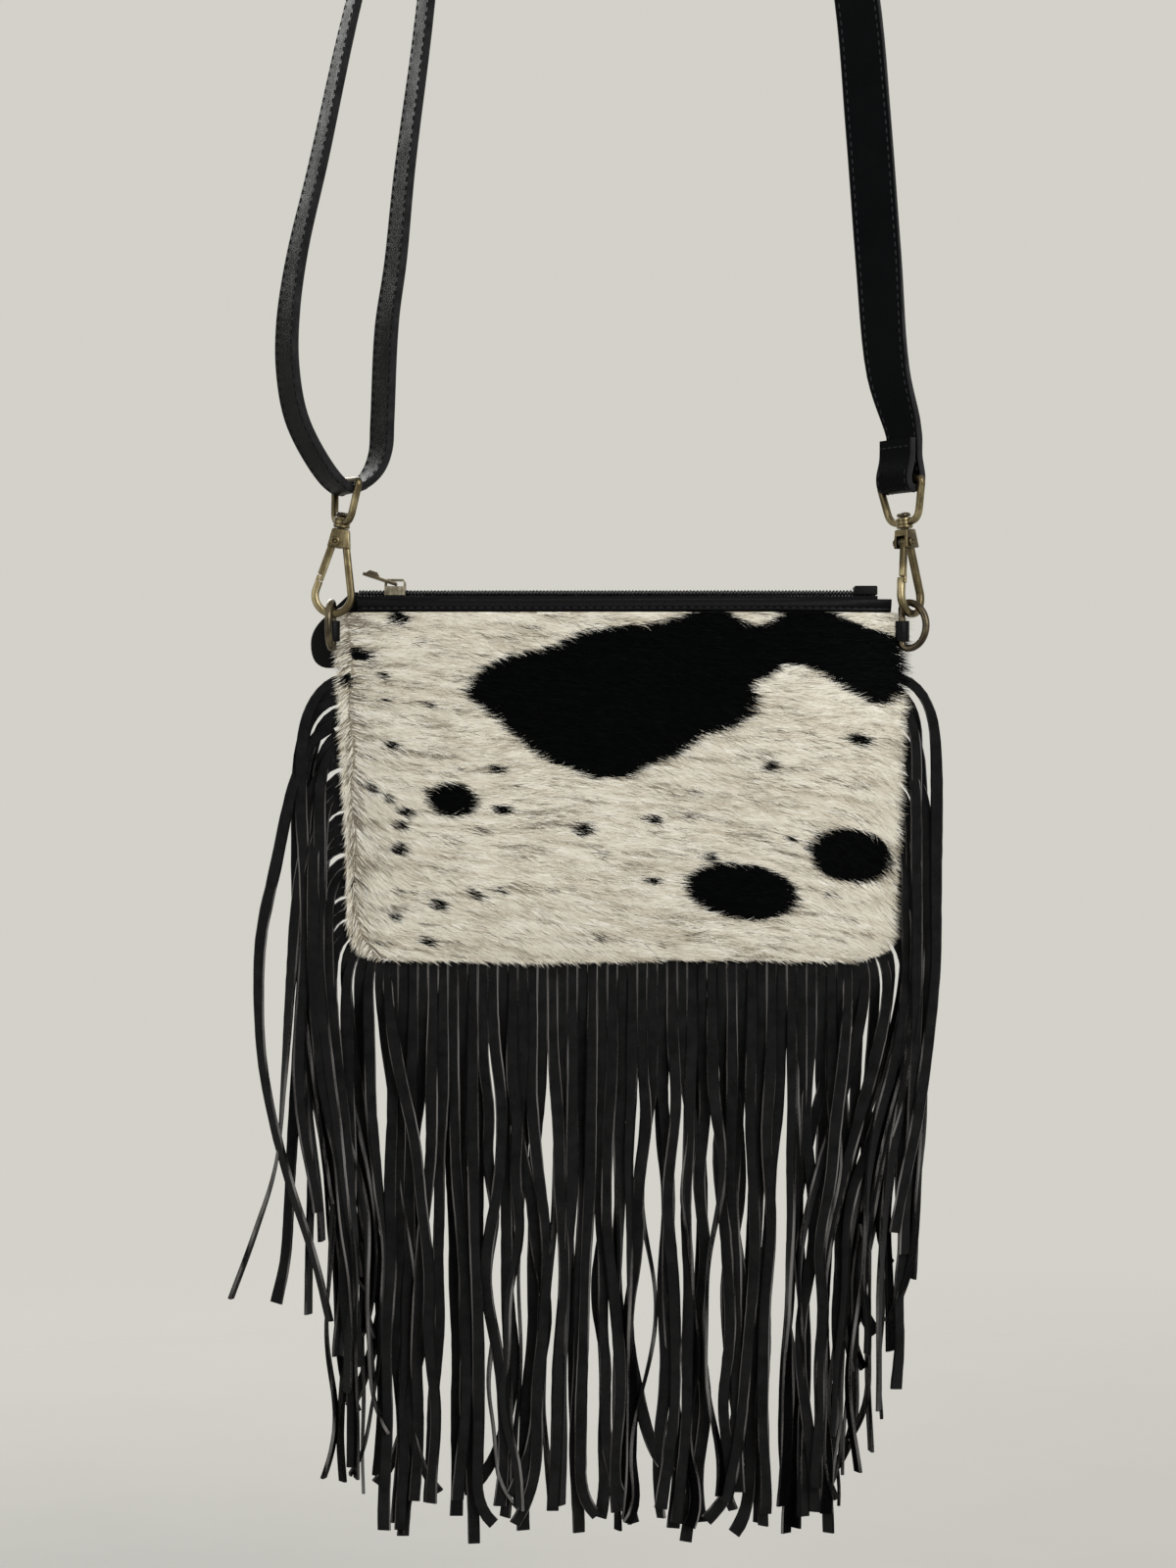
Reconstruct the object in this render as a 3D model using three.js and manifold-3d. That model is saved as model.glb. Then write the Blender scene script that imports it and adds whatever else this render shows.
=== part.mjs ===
// A hair-on hide zip pouch with leather fringe, hung from a crossbody strap by two swivel snap hooks.
// Millimetres, +Z up. The front of the pouch faces -Y, and the origin is the underside of the strap
// at the place where it hangs.

import * as THREE from 'three';
import { mergeVertices } from 'three/addons/utils/BufferGeometryUtils.js';
import Module from 'manifold-3d';

const wasm = await Module();
wasm.setup();

// Fits
const GAP = 0.3; // between pieces that touch
const SWIVEL_GAP = 0.4; // above and below the eye's boss

// Pouch. Heights inside the pouch are measured from the top of the zip coil.
const STRAP_DROP = 505; // hang point to the zip
const POUCH_WIDTH = 227;
const POUCH_TAPER = 3.5; // each side, over the panel's height
const PANEL_HEIGHT = 142.5;
const BAND_DROP = 9.5; // zip to the top edge of the panels
const CORNER_RADIUS = 17;
const HIDE_THICKNESS = 2;
const BACK_THICKNESS = 1.4;
const RIM_ROOM = 6.5; // inside half depth along the zip
const FRONT_BULGE = 6;
const BACK_BULGE = 1.5;
const FULLNESS = 6; // power of the curve from the middle to the seams

const LINING_THICKNESS = 0.8;
const LINING_INSET = 10; // clear of the seam at each side
const LINING_RISE = 12; // clear of the bottom seam
const LINING_TOP = -10.5;
const LINING_TUCK = 3; // straight part below the zip tapes

// Zip
const ZIP_INSET = 6.8; // end of the zip to the side seam
const BAND_THICKNESS = 1.5;
const BAND_TOP = -4;
const TAPE_THICKNESS = 0.6;
const TAPE_KNEE = 5; // half width of the flat top
const TAPE_BOTTOM = -14;
const COIL_WIDTH = 2.2;
const COIL_HEIGHT = 2.3;
const COIL_SPLIT = 0.75; // half the space between the rows
const COIL_TOP = -0.1;
const SLIDER_LENGTH = 8.5;
const SLIDER_WALL = 1;
const SLIDER_INSET = 22.1; // slider's middle to the left side seam
const NECK_WIDTH = 0.9;
const BRIDGE_REACH = 3.4; // half length of the arch on the slider
const BRIDGE_RISE = 2.2; // room under the arch
const BRIDGE_WIDTH = 2;
const BRIDGE_THICKNESS = 1;
const PULL_LENGTH = 14;
const PULL_WIDTH = 7;
const PULL_THICKNESS = 1.2;
const PULL_TILT = 18; // degrees above the zip, pointing left
const END_TAB_LENGTH = 9.5;
const END_TAB_THICKNESS = 1.3;
const TAIL_THICKNESS = 2.4;
const TAIL_BACK = 5.5; // middle of the tail behind the seam

// Fringe
const FRINGE_THICKNESS = 1.2;
const FRINGE_LENGTH = 235;
const STRAND_WIDTH = 3.6;
const STRAND_SLIT = 0.5;
const HEADER = 8; // caught between the panels
const SIDE_FRINGE_TOP = -34;
const SIDE_BEND = 2.6; // radius at which a side strand turns down
const LEFT_STRANDS = 7;
const LEFT_SPREAD = 6.2; // from one hanging side strand to the next
const RIGHT_STRANDS = 5;
const RIGHT_SPREAD = 4.3;

// D-rings and their tabs
const RING_WIRE = 3.2;
const RING_HALF_HEIGHT = 9.4; // to the middle of the wire
const RING_REACH = 10.4; // upright bar to the far side, middle to middle
const RING_CORNER = 2.6;
const RING_Z = -14.8;
const LEFT_RING_TURN = -96; // degrees from +X
const RIGHT_RING_TURN = -25;
const TAB_CLEARANCE = 1.2; // top of the tab below the hook's bow
const TAB_PLY = 1.2;
const TAB_OFFSET = -2; // the loop stands forward of the seam
const TAB_ROOT = 7; // caught between the panels

// Swivel snap hooks. Heights are measured from the middle of the eye's strap bar.
const EYE_WIRE = 2.8;
const EYE_DEPTH = 17;
const EYE_TAPER = 4.5; // each side of the eye leans in, from its bar to its foot
const EYE_FLARE = 1.3; // extra half width, for the strap's fold below the bar
const EYE_TOP_CORNER = 2.6;
const EYE_FOOT_CORNER = 5;
const BOSS_RADIUS = 3.4;
const BOSS_RISE = 2;
const BOSS_DROP = 2.4;
const POST_RADIUS = 1.5;
const POST_HEAD_RADIUS = 2.9;
const POST_HEAD_HEIGHT = 1.8;
const POST_SEAT = 2.2; // depth of the post in the hook's head
const HOOK_LENGTH = 34.8; // top of the head to the middle of the wire at the bow
const HOOK_WIRE = 3.4;
const BOW_RADIUS = 7.4;
const LEG_LEAN = 13; // degrees
const HEAD_WIDTH = 9.4;
const HEAD_HEIGHT = 7.8;
const HEAD_CHEEK = 1.3;
const HEAD_CHAMFER = 1.4;
const NOSE_LENGTH = 3.6;
const GATE_THICKNESS = 2.4;
const GATE_HALF_WIDTH = 1.55;
const GATE_LAP = 2.7;
const GATE_EYE_RADIUS = 2.4;
const PIVOT_DROP = 5.2; // below the top of the head
const PIVOT_INSET = 0.8;
const RIVET_RADIUS = 1;
const RIVET_HEAD_RADIUS = 2;
const RIVET_HEAD_HEIGHT = 0.7;
const SPRING_WIDTH = 0.8;
const SPRING_WIRE = 0.8;
const LINK_GAP = 1.1; // play between the hook's bow and the ring
const LINK_REACH = 4.5; // from the ring's upright bar to the bow
const LEFT_TILT = 7; // degrees, foot of the hook to the left
const RIGHT_TILT = -5;
const LEFT_EYE_TURN = -62;
const RIGHT_EYE_TURN = -52;
const LEFT_HOOK_TURN = 0;
const RIGHT_HOOK_TURN = 52;

// Strap
const STRAP_WIDTH = 19;
const STRAP_THICKNESS = 3;
const STRAP_SKIVED = 1.6; // thickness where it wraps the slider's middle bar
const STRAP_STEPS = 3; // steps between two points of the route
const SLIDER_X = -65; // strap slider from the hang point
const SLIDER_Z = -129;
const SLIDER_LEAN = 8; // degrees
const SLIDER_TURN = 76;
const FRAME_BAR = 2.4;
const FRAME_THICKNESS = 2;
const FRAME_PITCH = 13; // middle bar to outer bars
const FRAME_PLAY = 0.8; // beside the strap

// Values worked out from the sizes above
const radians = THREE.MathUtils.degToRad;
const seam = FRINGE_THICKNESS / 2 + GAP;
const panelTop = -BAND_DROP;
const panelBottom = panelTop - PANEL_HEIGHT;
const seamX = POUCH_WIDTH / 2;
const zipHalf = seamX - ZIP_INSET;
const coilBottom = COIL_TOP - COIL_HEIGHT;
const tapeTop = coilBottom - GAP;
const coilOuter = COIL_SPLIT + COIL_WIDTH;
const ringRadius = RING_WIRE / 2;
const hookRadius = HOOK_WIRE / 2;
const eyeRadius = EYE_WIRE / 2;
const tabBore = ringRadius + GAP;
const tabOuter = tabBore + TAB_PLY;
const barX = seamX + GAP + tabOuter;
const headTop = -(EYE_DEPTH + BOSS_DROP + SWIVEL_GAP);
const headBottom = headTop - HEAD_HEIGHT;
const bowBottom = headTop - HOOK_LENGTH;
const bowMiddle = bowBottom + BOW_RADIUS;
const slotWidth = GATE_THICKNESS + SPRING_WIDTH + 3 * GAP;
const headDepth = slotWidth + 2 * HEAD_CHEEK;
const gateY = -(SPRING_WIDTH + GAP) / 2;
const springY = (GATE_THICKNESS + GAP) / 2;

// Materials
const hide = new THREE.MeshStandardMaterial({ color: 0xcdc6b7, roughness: 0.8, metalness: 0 });
const leather = new THREE.MeshStandardMaterial({ color: 0x141416, roughness: 0.55, metalness: 0 });
const fringeLeather = new THREE.MeshStandardMaterial({ color: 0x1d1c1c, roughness: 0.75, metalness: 0 });
const cloth = new THREE.MeshStandardMaterial({ color: 0x2b2723, roughness: 0.9, metalness: 0 });
const tape = new THREE.MeshStandardMaterial({ color: 0x101012, roughness: 0.85, metalness: 0 });
const nylon = new THREE.MeshStandardMaterial({ color: 0x0e0e10, roughness: 0.45, metalness: 0 });
const brass = new THREE.MeshStandardMaterial({ color: 0x8a6a38, roughness: 0.38, metalness: 1 });
const steel = new THREE.MeshStandardMaterial({ color: 0x77756f, roughness: 0.3, metalness: 1 });

// Geometry helpers

function point(x, y, z) {
  return new THREE.Vector3(x, y, z);
}

function signedVolume(position, index) {
  const a = new THREE.Vector3();
  const b = new THREE.Vector3();
  const c = new THREE.Vector3();
  let volume = 0;
  for (let i = 0; i < index.length; i += 3) {
    a.fromBufferAttribute(position, index[i]);
    b.fromBufferAttribute(position, index[i + 1]);
    c.fromBufferAttribute(position, index[i + 2]);
    volume += a.dot(b.cross(c)) / 6;
  }
  return volume;
}

// The triangles that close a ring of an even number of points, wound the way the ring runs.
function capFaces(size) {
  const faces = [];
  for (let near = 0; near < size / 2 - 1; near += 1) {
    const far = size - 1 - near;
    faces.push([near, near + 1, far - 1], [near, far - 1, far]);
  }
  return faces;
}

// A closed skin over a row of rings that all have the same number of points.
function loft(rings, loop = false) {
  const size = rings[0].length;
  const spans = loop ? rings.length : rings.length - 1;
  const index = [];
  for (let i = 0; i < spans; i += 1) {
    const next = (i + 1) % rings.length;
    for (let j = 0; j < size; j += 1) {
      const k = (j + 1) % size;
      index.push(i * size + j, i * size + k, next * size + k);
      index.push(i * size + j, next * size + k, next * size + j);
    }
  }
  if (!loop) {
    const last = (rings.length - 1) * size;
    capFaces(size).forEach(([a, b, c]) => {
      index.push(a, c, b);
      index.push(last + a, last + b, last + c);
    });
  }
  const position = new THREE.Float32BufferAttribute(rings.flat().flatMap((p) => p.toArray()), 3);
  if (signedVolume(position, index) < 0) {
    index.reverse();
  }
  return new THREE.BufferGeometry().setAttribute('position', position).setIndex(index);
}

// A round wire along points in the plane y = 0.
function wire(points, radius, loop = false, sides = 10) {
  const count = points.length;
  const rings = points.map((p, i) => {
    const before = points[loop ? (i + count - 1) % count : Math.max(i - 1, 0)];
    const after = points[loop ? (i + 1) % count : Math.min(i + 1, count - 1)];
    const along = after.clone().sub(before).normalize();
    const out = point(along.z, 0, -along.x);
    return Array.from({ length: sides }, (_, k) => {
      const angle = (2 * Math.PI * k) / sides;
      const spot = p.clone().addScaledVector(out, radius * Math.cos(angle));
      spot.y += radius * Math.sin(angle);
      return spot;
    });
  });
  return loft(rings, loop);
}

// Points of an arc in the plane y = 0, angles in degrees from +X towards +Z.
function arc(x, z, width, height, from, to, steps) {
  return Array.from({ length: steps + 1 }, (_, i) => {
    const angle = radians(from + ((to - from) * i) / steps);
    return point(x + width * Math.cos(angle), 0, z + height * Math.sin(angle));
  });
}

// A closed outline with round corners in the plane y = 0, from corners of [x, z, radius].
function rounded(corners, steps = 4) {
  return corners.flatMap(([x, z, radius], i) => {
    const corner = point(x, 0, z);
    const [bx, bz] = corners[(i + corners.length - 1) % corners.length];
    const [ax, az] = corners[(i + 1) % corners.length];
    const back = point(bx, 0, bz).sub(corner).normalize();
    const ahead = point(ax, 0, az).sub(corner).normalize();
    const half = back.angleTo(ahead) / 2;
    const start = corner.clone().addScaledVector(back, radius / Math.tan(half));
    const end = corner.clone().addScaledVector(ahead, radius / Math.tan(half));
    const bend = new THREE.QuadraticBezierCurve3(start, corner, end);
    return bend.getPoints(steps);
  });
}

// A flat plate standing in the XZ plane, from a shape drawn with x across and y up.
function plate(shape, thickness, y = 0) {
  const geometry = new THREE.ExtrudeGeometry(shape, { depth: thickness, bevelEnabled: false, curveSegments: 8 });
  return geometry.translate(0, 0, -thickness / 2).rotateX(Math.PI / 2).translate(0, y, 0);
}

function outline(points) {
  return new THREE.Shape(points.map(([x, y]) => new THREE.Vector2(x, y)));
}

function box(x, y, z) {
  return new THREE.BoxGeometry(x[1] - x[0], y[1] - y[0], z[1] - z[0]).translate(
    (x[0] + x[1]) / 2,
    (y[0] + y[1]) / 2,
    (z[0] + z[1]) / 2,
  );
}

function rodAlongY(radius, length, sides = 16) {
  return new THREE.CylinderGeometry(radius, radius, length, sides);
}

function rodAlongZ(radius, low, high, sides = 16) {
  const rod = new THREE.CylinderGeometry(radius, radius, high - low, sides);
  return rod.rotateX(Math.PI / 2).translate(0, 0, (low + high) / 2);
}

function solid(geometry) {
  const bare = geometry.clone();
  bare.deleteAttribute('normal');
  bare.deleteAttribute('uv');
  const merged = mergeVertices(bare);
  return new wasm.Manifold(
    new wasm.Mesh({
      numProp: 3,
      vertProperties: new Float32Array(merged.attributes.position.array),
      triVerts: new Uint32Array(merged.index.array),
    }),
  );
}

function carved(bodies, cuts = []) {
  let result = solid(bodies[0]);
  bodies.slice(1).forEach((body) => {
    result = result.add(solid(body));
  });
  cuts.forEach((cut) => {
    result = result.subtract(solid(cut));
  });
  const mesh = result.getMesh();
  const geometry = new THREE.BufferGeometry();
  geometry.setAttribute('position', new THREE.Float32BufferAttribute(mesh.vertProperties, 3));
  return geometry.setIndex(Array.from(mesh.triVerts));
}

const object = new THREE.Group();
const pouch = new THREE.Group();
pouch.position.z = -STRAP_DROP;
object.add(pouch);

function piece(name, geometry, material, parent = pouch) {
  const mesh = new THREE.Mesh(geometry, material);
  mesh.name = name;
  parent.add(mesh);
  return mesh;
}

// Panels: two shells that meet at the side and bottom seams, with the fringe between them.

function halfWidth(z) {
  const straight = seamX - (POUCH_TAPER * (panelTop - z)) / PANEL_HEIGHT;
  const rise = Math.max(CORNER_RADIUS - (z - panelBottom), 0);
  return straight - CORNER_RADIUS + Math.sqrt(CORNER_RADIUS ** 2 - rise ** 2);
}

// Inside half depth at a share u of the half width.
function room(u, z, bulge) {
  const down = (panelTop - z) / PANEL_HEIGHT;
  const along = RIM_ROOM * (1 - down ** FULLNESS) + bulge * Math.sin(Math.PI * down);
  return along * (1 - Math.abs(u) ** FULLNESS);
}

function rowsDownTo(bottom) {
  const straight = 7;
  const turn = 5;
  const low = panelBottom + CORNER_RADIUS;
  const rows = Array.from({ length: straight + 1 }, (_, i) => panelTop + ((low - panelTop) * i) / straight);
  for (let i = 1; i <= turn; i += 1) {
    rows.push(panelBottom + CORNER_RADIUS * (1 - Math.sin((Math.PI / 2) * (i / turn))));
  }
  return rows.filter((z) => z >= bottom);
}

const ACROSS = [-1, -0.97, -0.92, -0.84, -0.7, -0.45, 0, 0.45, 0.7, 0.84, 0.92, 0.97, 1];

function panel(side, bulge, thickness) {
  const rings = rowsDownTo(panelBottom).map((z) => {
    const wide = halfWidth(z);
    const inner = ACROSS.map((u) => point(u * wide, side * (seam + room(u, z, bulge)), z));
    const outer = inner.map((p) => p.clone().setY(p.y + side * thickness));
    return [...outer, ...inner.reverse()];
  });
  return loft(rings);
}

piece('front_panel', panel(-1, FRONT_BULGE, HIDE_THICKNESS), hide);
piece('back_panel', panel(1, BACK_BULGE, BACK_THICKNESS), leather);

// Lining: a cloth bag, open at the top, just inside the zip tapes.

const liningGap = 3 * GAP + TAPE_THICKNESS;

function liningRing(z, wall, at) {
  const wide = halfWidth(z);
  const share = (wide - LINING_INSET - wall) / wide;
  const steps = [-1, -0.85, -0.6, -0.3, 0, 0.3, 0.6, 0.85, 1].map((u) => u * share);
  const sewn = z > TAPE_BOTTOM - LINING_TUCK;
  const depth = (u, bulge) => seam + room(u, sewn ? panelTop : z, bulge) - liningGap - wall;
  const front = steps.map((u) => point(u * wide, -depth(u, FRONT_BULGE), at));
  const back = steps.map((u) => point(u * wide, depth(u, BACK_BULGE), at)).reverse();
  return [...front, ...back];
}

function lining() {
  const foot = panelBottom + LINING_RISE;
  const top = [LINING_TOP, TAPE_BOTTOM - LINING_TUCK / 2];
  const rows = [...top, ...rowsDownTo(foot + LINING_RISE).slice(1), foot].reverse();
  const outer = rows.map((z) => liningRing(z, 0, z));
  const inner = rows.map((z, i) => liningRing(z, LINING_THICKNESS, i === 0 ? z + LINING_THICKNESS : z));
  return loft([...outer, ...inner.reverse()]);
}

piece('lining', lining(), cloth);

// Zip: tapes folded down inside the panels, coil rows on top, leather facings outside.

const STATIONS = 14;

function alongZip(section) {
  return loft(Array.from({ length: STATIONS + 1 }, (_, i) => {
    const x = zipHalf * ((2 * i) / STATIONS - 1);
    return section(x).map(([y, z]) => point(x, y, z));
  }));
}

// Outer face of a tape below its knee.
function tapeFace(x) {
  return seam + room(x / seamX, panelTop, 0) - GAP;
}

function tapeAt(x, z) {
  const share = (tapeTop - z) / (tapeTop - panelTop);
  return TAPE_KNEE + (tapeFace(x) - TAPE_KNEE) * share;
}

function tapeSection(side) {
  const under = tapeTop - TAPE_THICKNESS;
  return (x) => [
    [side * COIL_SPLIT, tapeTop],
    [side * TAPE_KNEE, tapeTop],
    [side * tapeFace(x), panelTop],
    [side * tapeFace(x), TAPE_BOTTOM],
    [side * (tapeFace(x) - TAPE_THICKNESS), TAPE_BOTTOM],
    [side * (tapeFace(x) - TAPE_THICKNESS), panelTop],
    [side * (TAPE_KNEE - TAPE_THICKNESS), under],
    [side * COIL_SPLIT, under],
  ];
}

function bandSection(side) {
  const low = panelTop + GAP;
  const middle = (BAND_TOP + low) / 2;
  const face = (x, z, out) => [side * (tapeAt(x, z) + GAP + out), z];
  return (x) => [
    face(x, BAND_TOP, 0),
    face(x, low, 0),
    face(x, low, BAND_THICKNESS),
    face(x, middle, BAND_THICKNESS),
    face(x, BAND_TOP - 1, BAND_THICKNESS),
    face(x, BAND_TOP, BAND_THICKNESS * 0.6),
  ];
}

[['front', -1], ['back', 1]].forEach(([name, side]) => {
  const rows = [side * COIL_SPLIT, side * coilOuter].sort((a, b) => a - b);
  piece(`zip_tape_${name}`, alongZip(tapeSection(side)), tape);
  piece(`zip_coil_${name}`, box([-zipHalf, zipHalf], rows, [coilBottom, COIL_TOP]), nylon);
  piece(`top_band_${name}`, alongZip(bandSection(side)), leather);
});

// Slider: two plates joined by a neck between the coil rows, with side walls and an arch for the pull.

const sliderX = SLIDER_INSET - seamX;
const plateUnder = COIL_TOP + GAP + 0.1;
const plateTop = plateUnder + SLIDER_WALL;
const wallInner = coilOuter + GAP;
const wallOuter = wallInner + SLIDER_WALL;
const bridgeTop = plateTop + BRIDGE_RISE;
const pullPivot = plateTop + BRIDGE_RISE / 2;
const pullBar = BRIDGE_RISE / 2 - GAP;

function zipSlider() {
  const half = SLIDER_LENGTH / 2;
  const ends = [-half, half];
  const under = tapeTop - TAPE_THICKNESS - GAP;
  const wallFoot = tapeTop + GAP;
  const parts = [
    box(ends, [-wallOuter, wallOuter], [plateUnder, plateTop]),
    box(ends, [-wallOuter, -wallInner], [wallFoot, plateTop]),
    box(ends, [wallInner, wallOuter], [wallFoot, plateTop]),
    box(ends, [-NECK_WIDTH / 2, NECK_WIDTH / 2], [under - SLIDER_WALL, plateTop]),
    box(ends, [-wallInner, wallInner], [under - SLIDER_WALL, under]),
  ];
  const reach = BRIDGE_REACH;
  const thick = BRIDGE_THICKNESS;
  const arch = outline([
    [-reach - thick, plateTop - thick / 2],
    [-reach - thick, bridgeTop - thick / 2],
    [-reach, bridgeTop + thick],
    [reach, bridgeTop + thick],
    [reach + thick, bridgeTop - thick / 2],
    [reach + thick, plateTop - thick / 2],
    [reach, plateTop - thick / 2],
    [reach, bridgeTop],
    [-reach, bridgeTop],
    [-reach, plateTop - thick / 2],
  ]);
  return carved([...parts, plate(arch, BRIDGE_WIDTH)]);
}

// The pull's root bar runs under the arch, and its window lets the arch through.
function zipPull() {
  const tip = -PULL_LENGTH;
  const half = PULL_THICKNESS / 2;
  const window = BRIDGE_WIDTH / 2 + GAP;
  const reach = BRIDGE_REACH + BRIDGE_THICKNESS + BRIDGE_RISE;
  const shape = outline([
    [tip + 2, -PULL_WIDTH / 2],
    [-2, -PULL_WIDTH / 2],
    [0, -PULL_WIDTH / 2 + 1],
    [0, PULL_WIDTH / 2 - 1],
    [-2, PULL_WIDTH / 2],
    [tip + 2, PULL_WIDTH / 2],
    [tip, PULL_WIDTH / 2 - 2],
    [tip, -PULL_WIDTH / 2 + 2],
  ]);
  const flat = new THREE.ExtrudeGeometry(shape, { depth: PULL_THICKNESS, bevelEnabled: false });
  flat.translate(0, 0, -half);
  const bar = rodAlongY(pullBar, PULL_WIDTH - 2, 10);
  const cut = box([-reach, pullBar * 3], [-window, window], [-PULL_THICKNESS, PULL_THICKNESS]);
  return carved([carved([flat], [cut]), bar]);
}

const zipRunner = new THREE.Group();
zipRunner.position.x = sliderX;
pouch.add(zipRunner);
piece('zip_slider', zipSlider(), brass, zipRunner);
const pull = piece('zip_pull', zipPull(), brass, zipRunner);
pull.position.z = pullPivot;
pull.rotation.y = radians(PULL_TILT);

function zipEndTab() {
  const x = [zipHalf - END_TAB_LENGTH, zipHalf];
  const top = COIL_TOP + GAP;
  const side = [wallInner, wallInner + END_TAB_THICKNESS];
  return carved([
    box(x, [-side[1], side[1]], [top, top + END_TAB_THICKNESS]),
    box(x, [-side[1], -side[0]], [tapeTop + GAP, top + END_TAB_THICKNESS]),
    box(x, side, [tapeTop + GAP, top + END_TAB_THICKNESS]),
  ]);
}

piece('zip_end_tab', zipEndTab(), leather);

// Tail of the zip: a rounded leather tab that droops behind the left ring.
function zipTailTab() {
  const start = -(zipHalf + GAP);
  const shape = new THREE.Shape();
  shape.moveTo(start, -0.6);
  shape.lineTo(start - 3, -0.6);
  shape.lineTo(start - 14, -11);
  shape.quadraticCurveTo(start - 19.7, -16, start - 19.7, -22);
  shape.quadraticCurveTo(start - 19.7, -32, start - 12, -32);
  shape.quadraticCurveTo(start - 4.5, -32, start - 4.5, -24);
  shape.lineTo(start - 3.8, -14);
  shape.lineTo(start, -8);
  return plate(shape, TAIL_THICKNESS, TAIL_BACK);
}

piece('zip_tail_tab', zipTailTab(), leather);

// Fringe: strips slit into strands. The side strands leave the seam sideways and turn down.

const pitch = STRAND_WIDTH + STRAND_SLIT;

function bottomFringe() {
  const span = 2 * halfWidth(panelBottom);
  const count = Math.floor(span / pitch);
  const left = -(count * pitch) / 2;
  const root = panelBottom - STRAND_SLIT;
  const end = panelBottom - FRINGE_LENGTH;
  const points = [[left, panelBottom + HEADER]];
  for (let i = 0; i < count; i += 1) {
    const x = left + i * pitch;
    points.push([x, root], [x, end], [x + STRAND_WIDTH, end], [x + STRAND_WIDTH, root]);
  }
  points.push([left + count * pitch - STRAND_SLIT, panelBottom + HEADER]);
  return plate(outline(points), FRINGE_THICKNESS);
}

function sideFringe(side, count, spread) {
  const bottom = panelBottom + CORNER_RADIUS;
  const rootPitch = (SIDE_FRINGE_TOP - bottom) / count;
  const half = STRAND_WIDTH / 2;
  const edge = halfWidth(SIDE_FRINGE_TOP);
  const points = [[edge - HEADER, SIDE_FRINGE_TOP]];
  for (let i = 0; i < count; i += 1) {
    const z = SIDE_FRINGE_TOP - rootPitch * (i + 0.5);
    const out = edge + SIDE_BEND + (count - i - 0.5) * spread;
    const end = z - FRINGE_LENGTH + (out - edge);
    const outer = arc(out - SIDE_BEND, z - SIDE_BEND, SIDE_BEND + half, SIDE_BEND + half, 90, 0, 4);
    const inner = arc(out - SIDE_BEND, z - SIDE_BEND, SIDE_BEND - half, SIDE_BEND - half, 0, 90, 4);
    points.push([edge, z + half], ...outer.map((p) => [p.x, p.z]));
    points.push([out + half, end], [out - half, end]);
    points.push(...inner.map((p) => [p.x, p.z]), [edge, z - half]);
  }
  points.push([halfWidth(bottom) - HEADER, bottom]);
  return plate(outline(points.map(([x, z]) => [side * x, z])), FRINGE_THICKNESS);
}

piece('fringe_bottom', bottomFringe(), fringeLeather);
piece('fringe_left', sideFringe(-1, LEFT_STRANDS, LEFT_SPREAD), fringeLeather);
piece('fringe_right', sideFringe(1, RIGHT_STRANDS, RIGHT_SPREAD), fringeLeather);

// D-rings on their tabs. A ring's upright bar is its own Z axis.

function ring() {
  const straight = RING_HALF_HEIGHT - RING_CORNER;
  const reach = RING_REACH - RING_CORNER;
  const points = [
    point(0, 0, -straight),
    point(0, 0, 0),
    ...arc(RING_CORNER, straight, RING_CORNER, RING_CORNER, 180, 90, 4),
    ...arc(RING_CORNER, 0, reach, RING_HALF_HEIGHT, 90, -90, 16).slice(1, -1),
    ...arc(RING_CORNER, -straight, RING_CORNER, RING_CORNER, 270, 180, 4).slice(0, -1),
  ];
  return wire(points, ringRadius, true);
}

// Height of the ring's wire above its middle, at a distance from the bar.
function ringTop(reach) {
  return RING_HALF_HEIGHT * Math.sqrt(1 - ((reach - RING_CORNER) / (RING_REACH - RING_CORNER)) ** 2);
}

function ringTab(side) {
  const bottom = RING_Z - RING_HALF_HEIGHT + RING_CORNER + GAP;
  const top = RING_Z + ringTop(LINK_REACH) - ringRadius - LINK_GAP - HOOK_WIRE - TAB_CLEARANCE;
  const span = [bottom, top];
  const plies = [side * (seamX - TAB_ROOT), side * barX].sort((a, b) => a - b);
  const loop = rodAlongZ(tabOuter, ...span, 20).translate(side * barX, TAB_OFFSET, 0);
  const bore = rodAlongZ(tabBore, span[0] - 1, span[1] + 1).translate(side * barX, TAB_OFFSET, 0);
  return carved([box(plies, [-TAB_PLY / 2, TAB_PLY / 2], span), loop], [bore]);
}

// Snap hooks. The hook stands in its own XZ plane with the spine on +X and the gate on -X.

const lean = radians(LEG_LEAN);
const legFoot = point(BOW_RADIUS * Math.cos(lean), 0, bowMiddle + BOW_RADIUS * Math.sin(lean));
const legUp = point(Math.sin(lean), 0, Math.cos(lean));
const legOut = point(-Math.cos(lean), 0, Math.sin(lean));
const nose = point(-legFoot.x, 0, legFoot.z).addScaledVector(legUp, NOSE_LENGTH);
const pivotUp = (headTop - PIVOT_DROP - nose.z) / legUp.z;
const pivot = nose.clone().addScaledVector(legUp, pivotUp).addScaledVector(legOut, -PIVOT_INSET);

// A point of the gate's leg, from the end of the nose: outward and up.
function onLeg([out, up]) {
  const spot = nose.clone().addScaledVector(legOut, out).addScaledVector(legUp, up);
  return [spot.x, spot.z];
}

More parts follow.
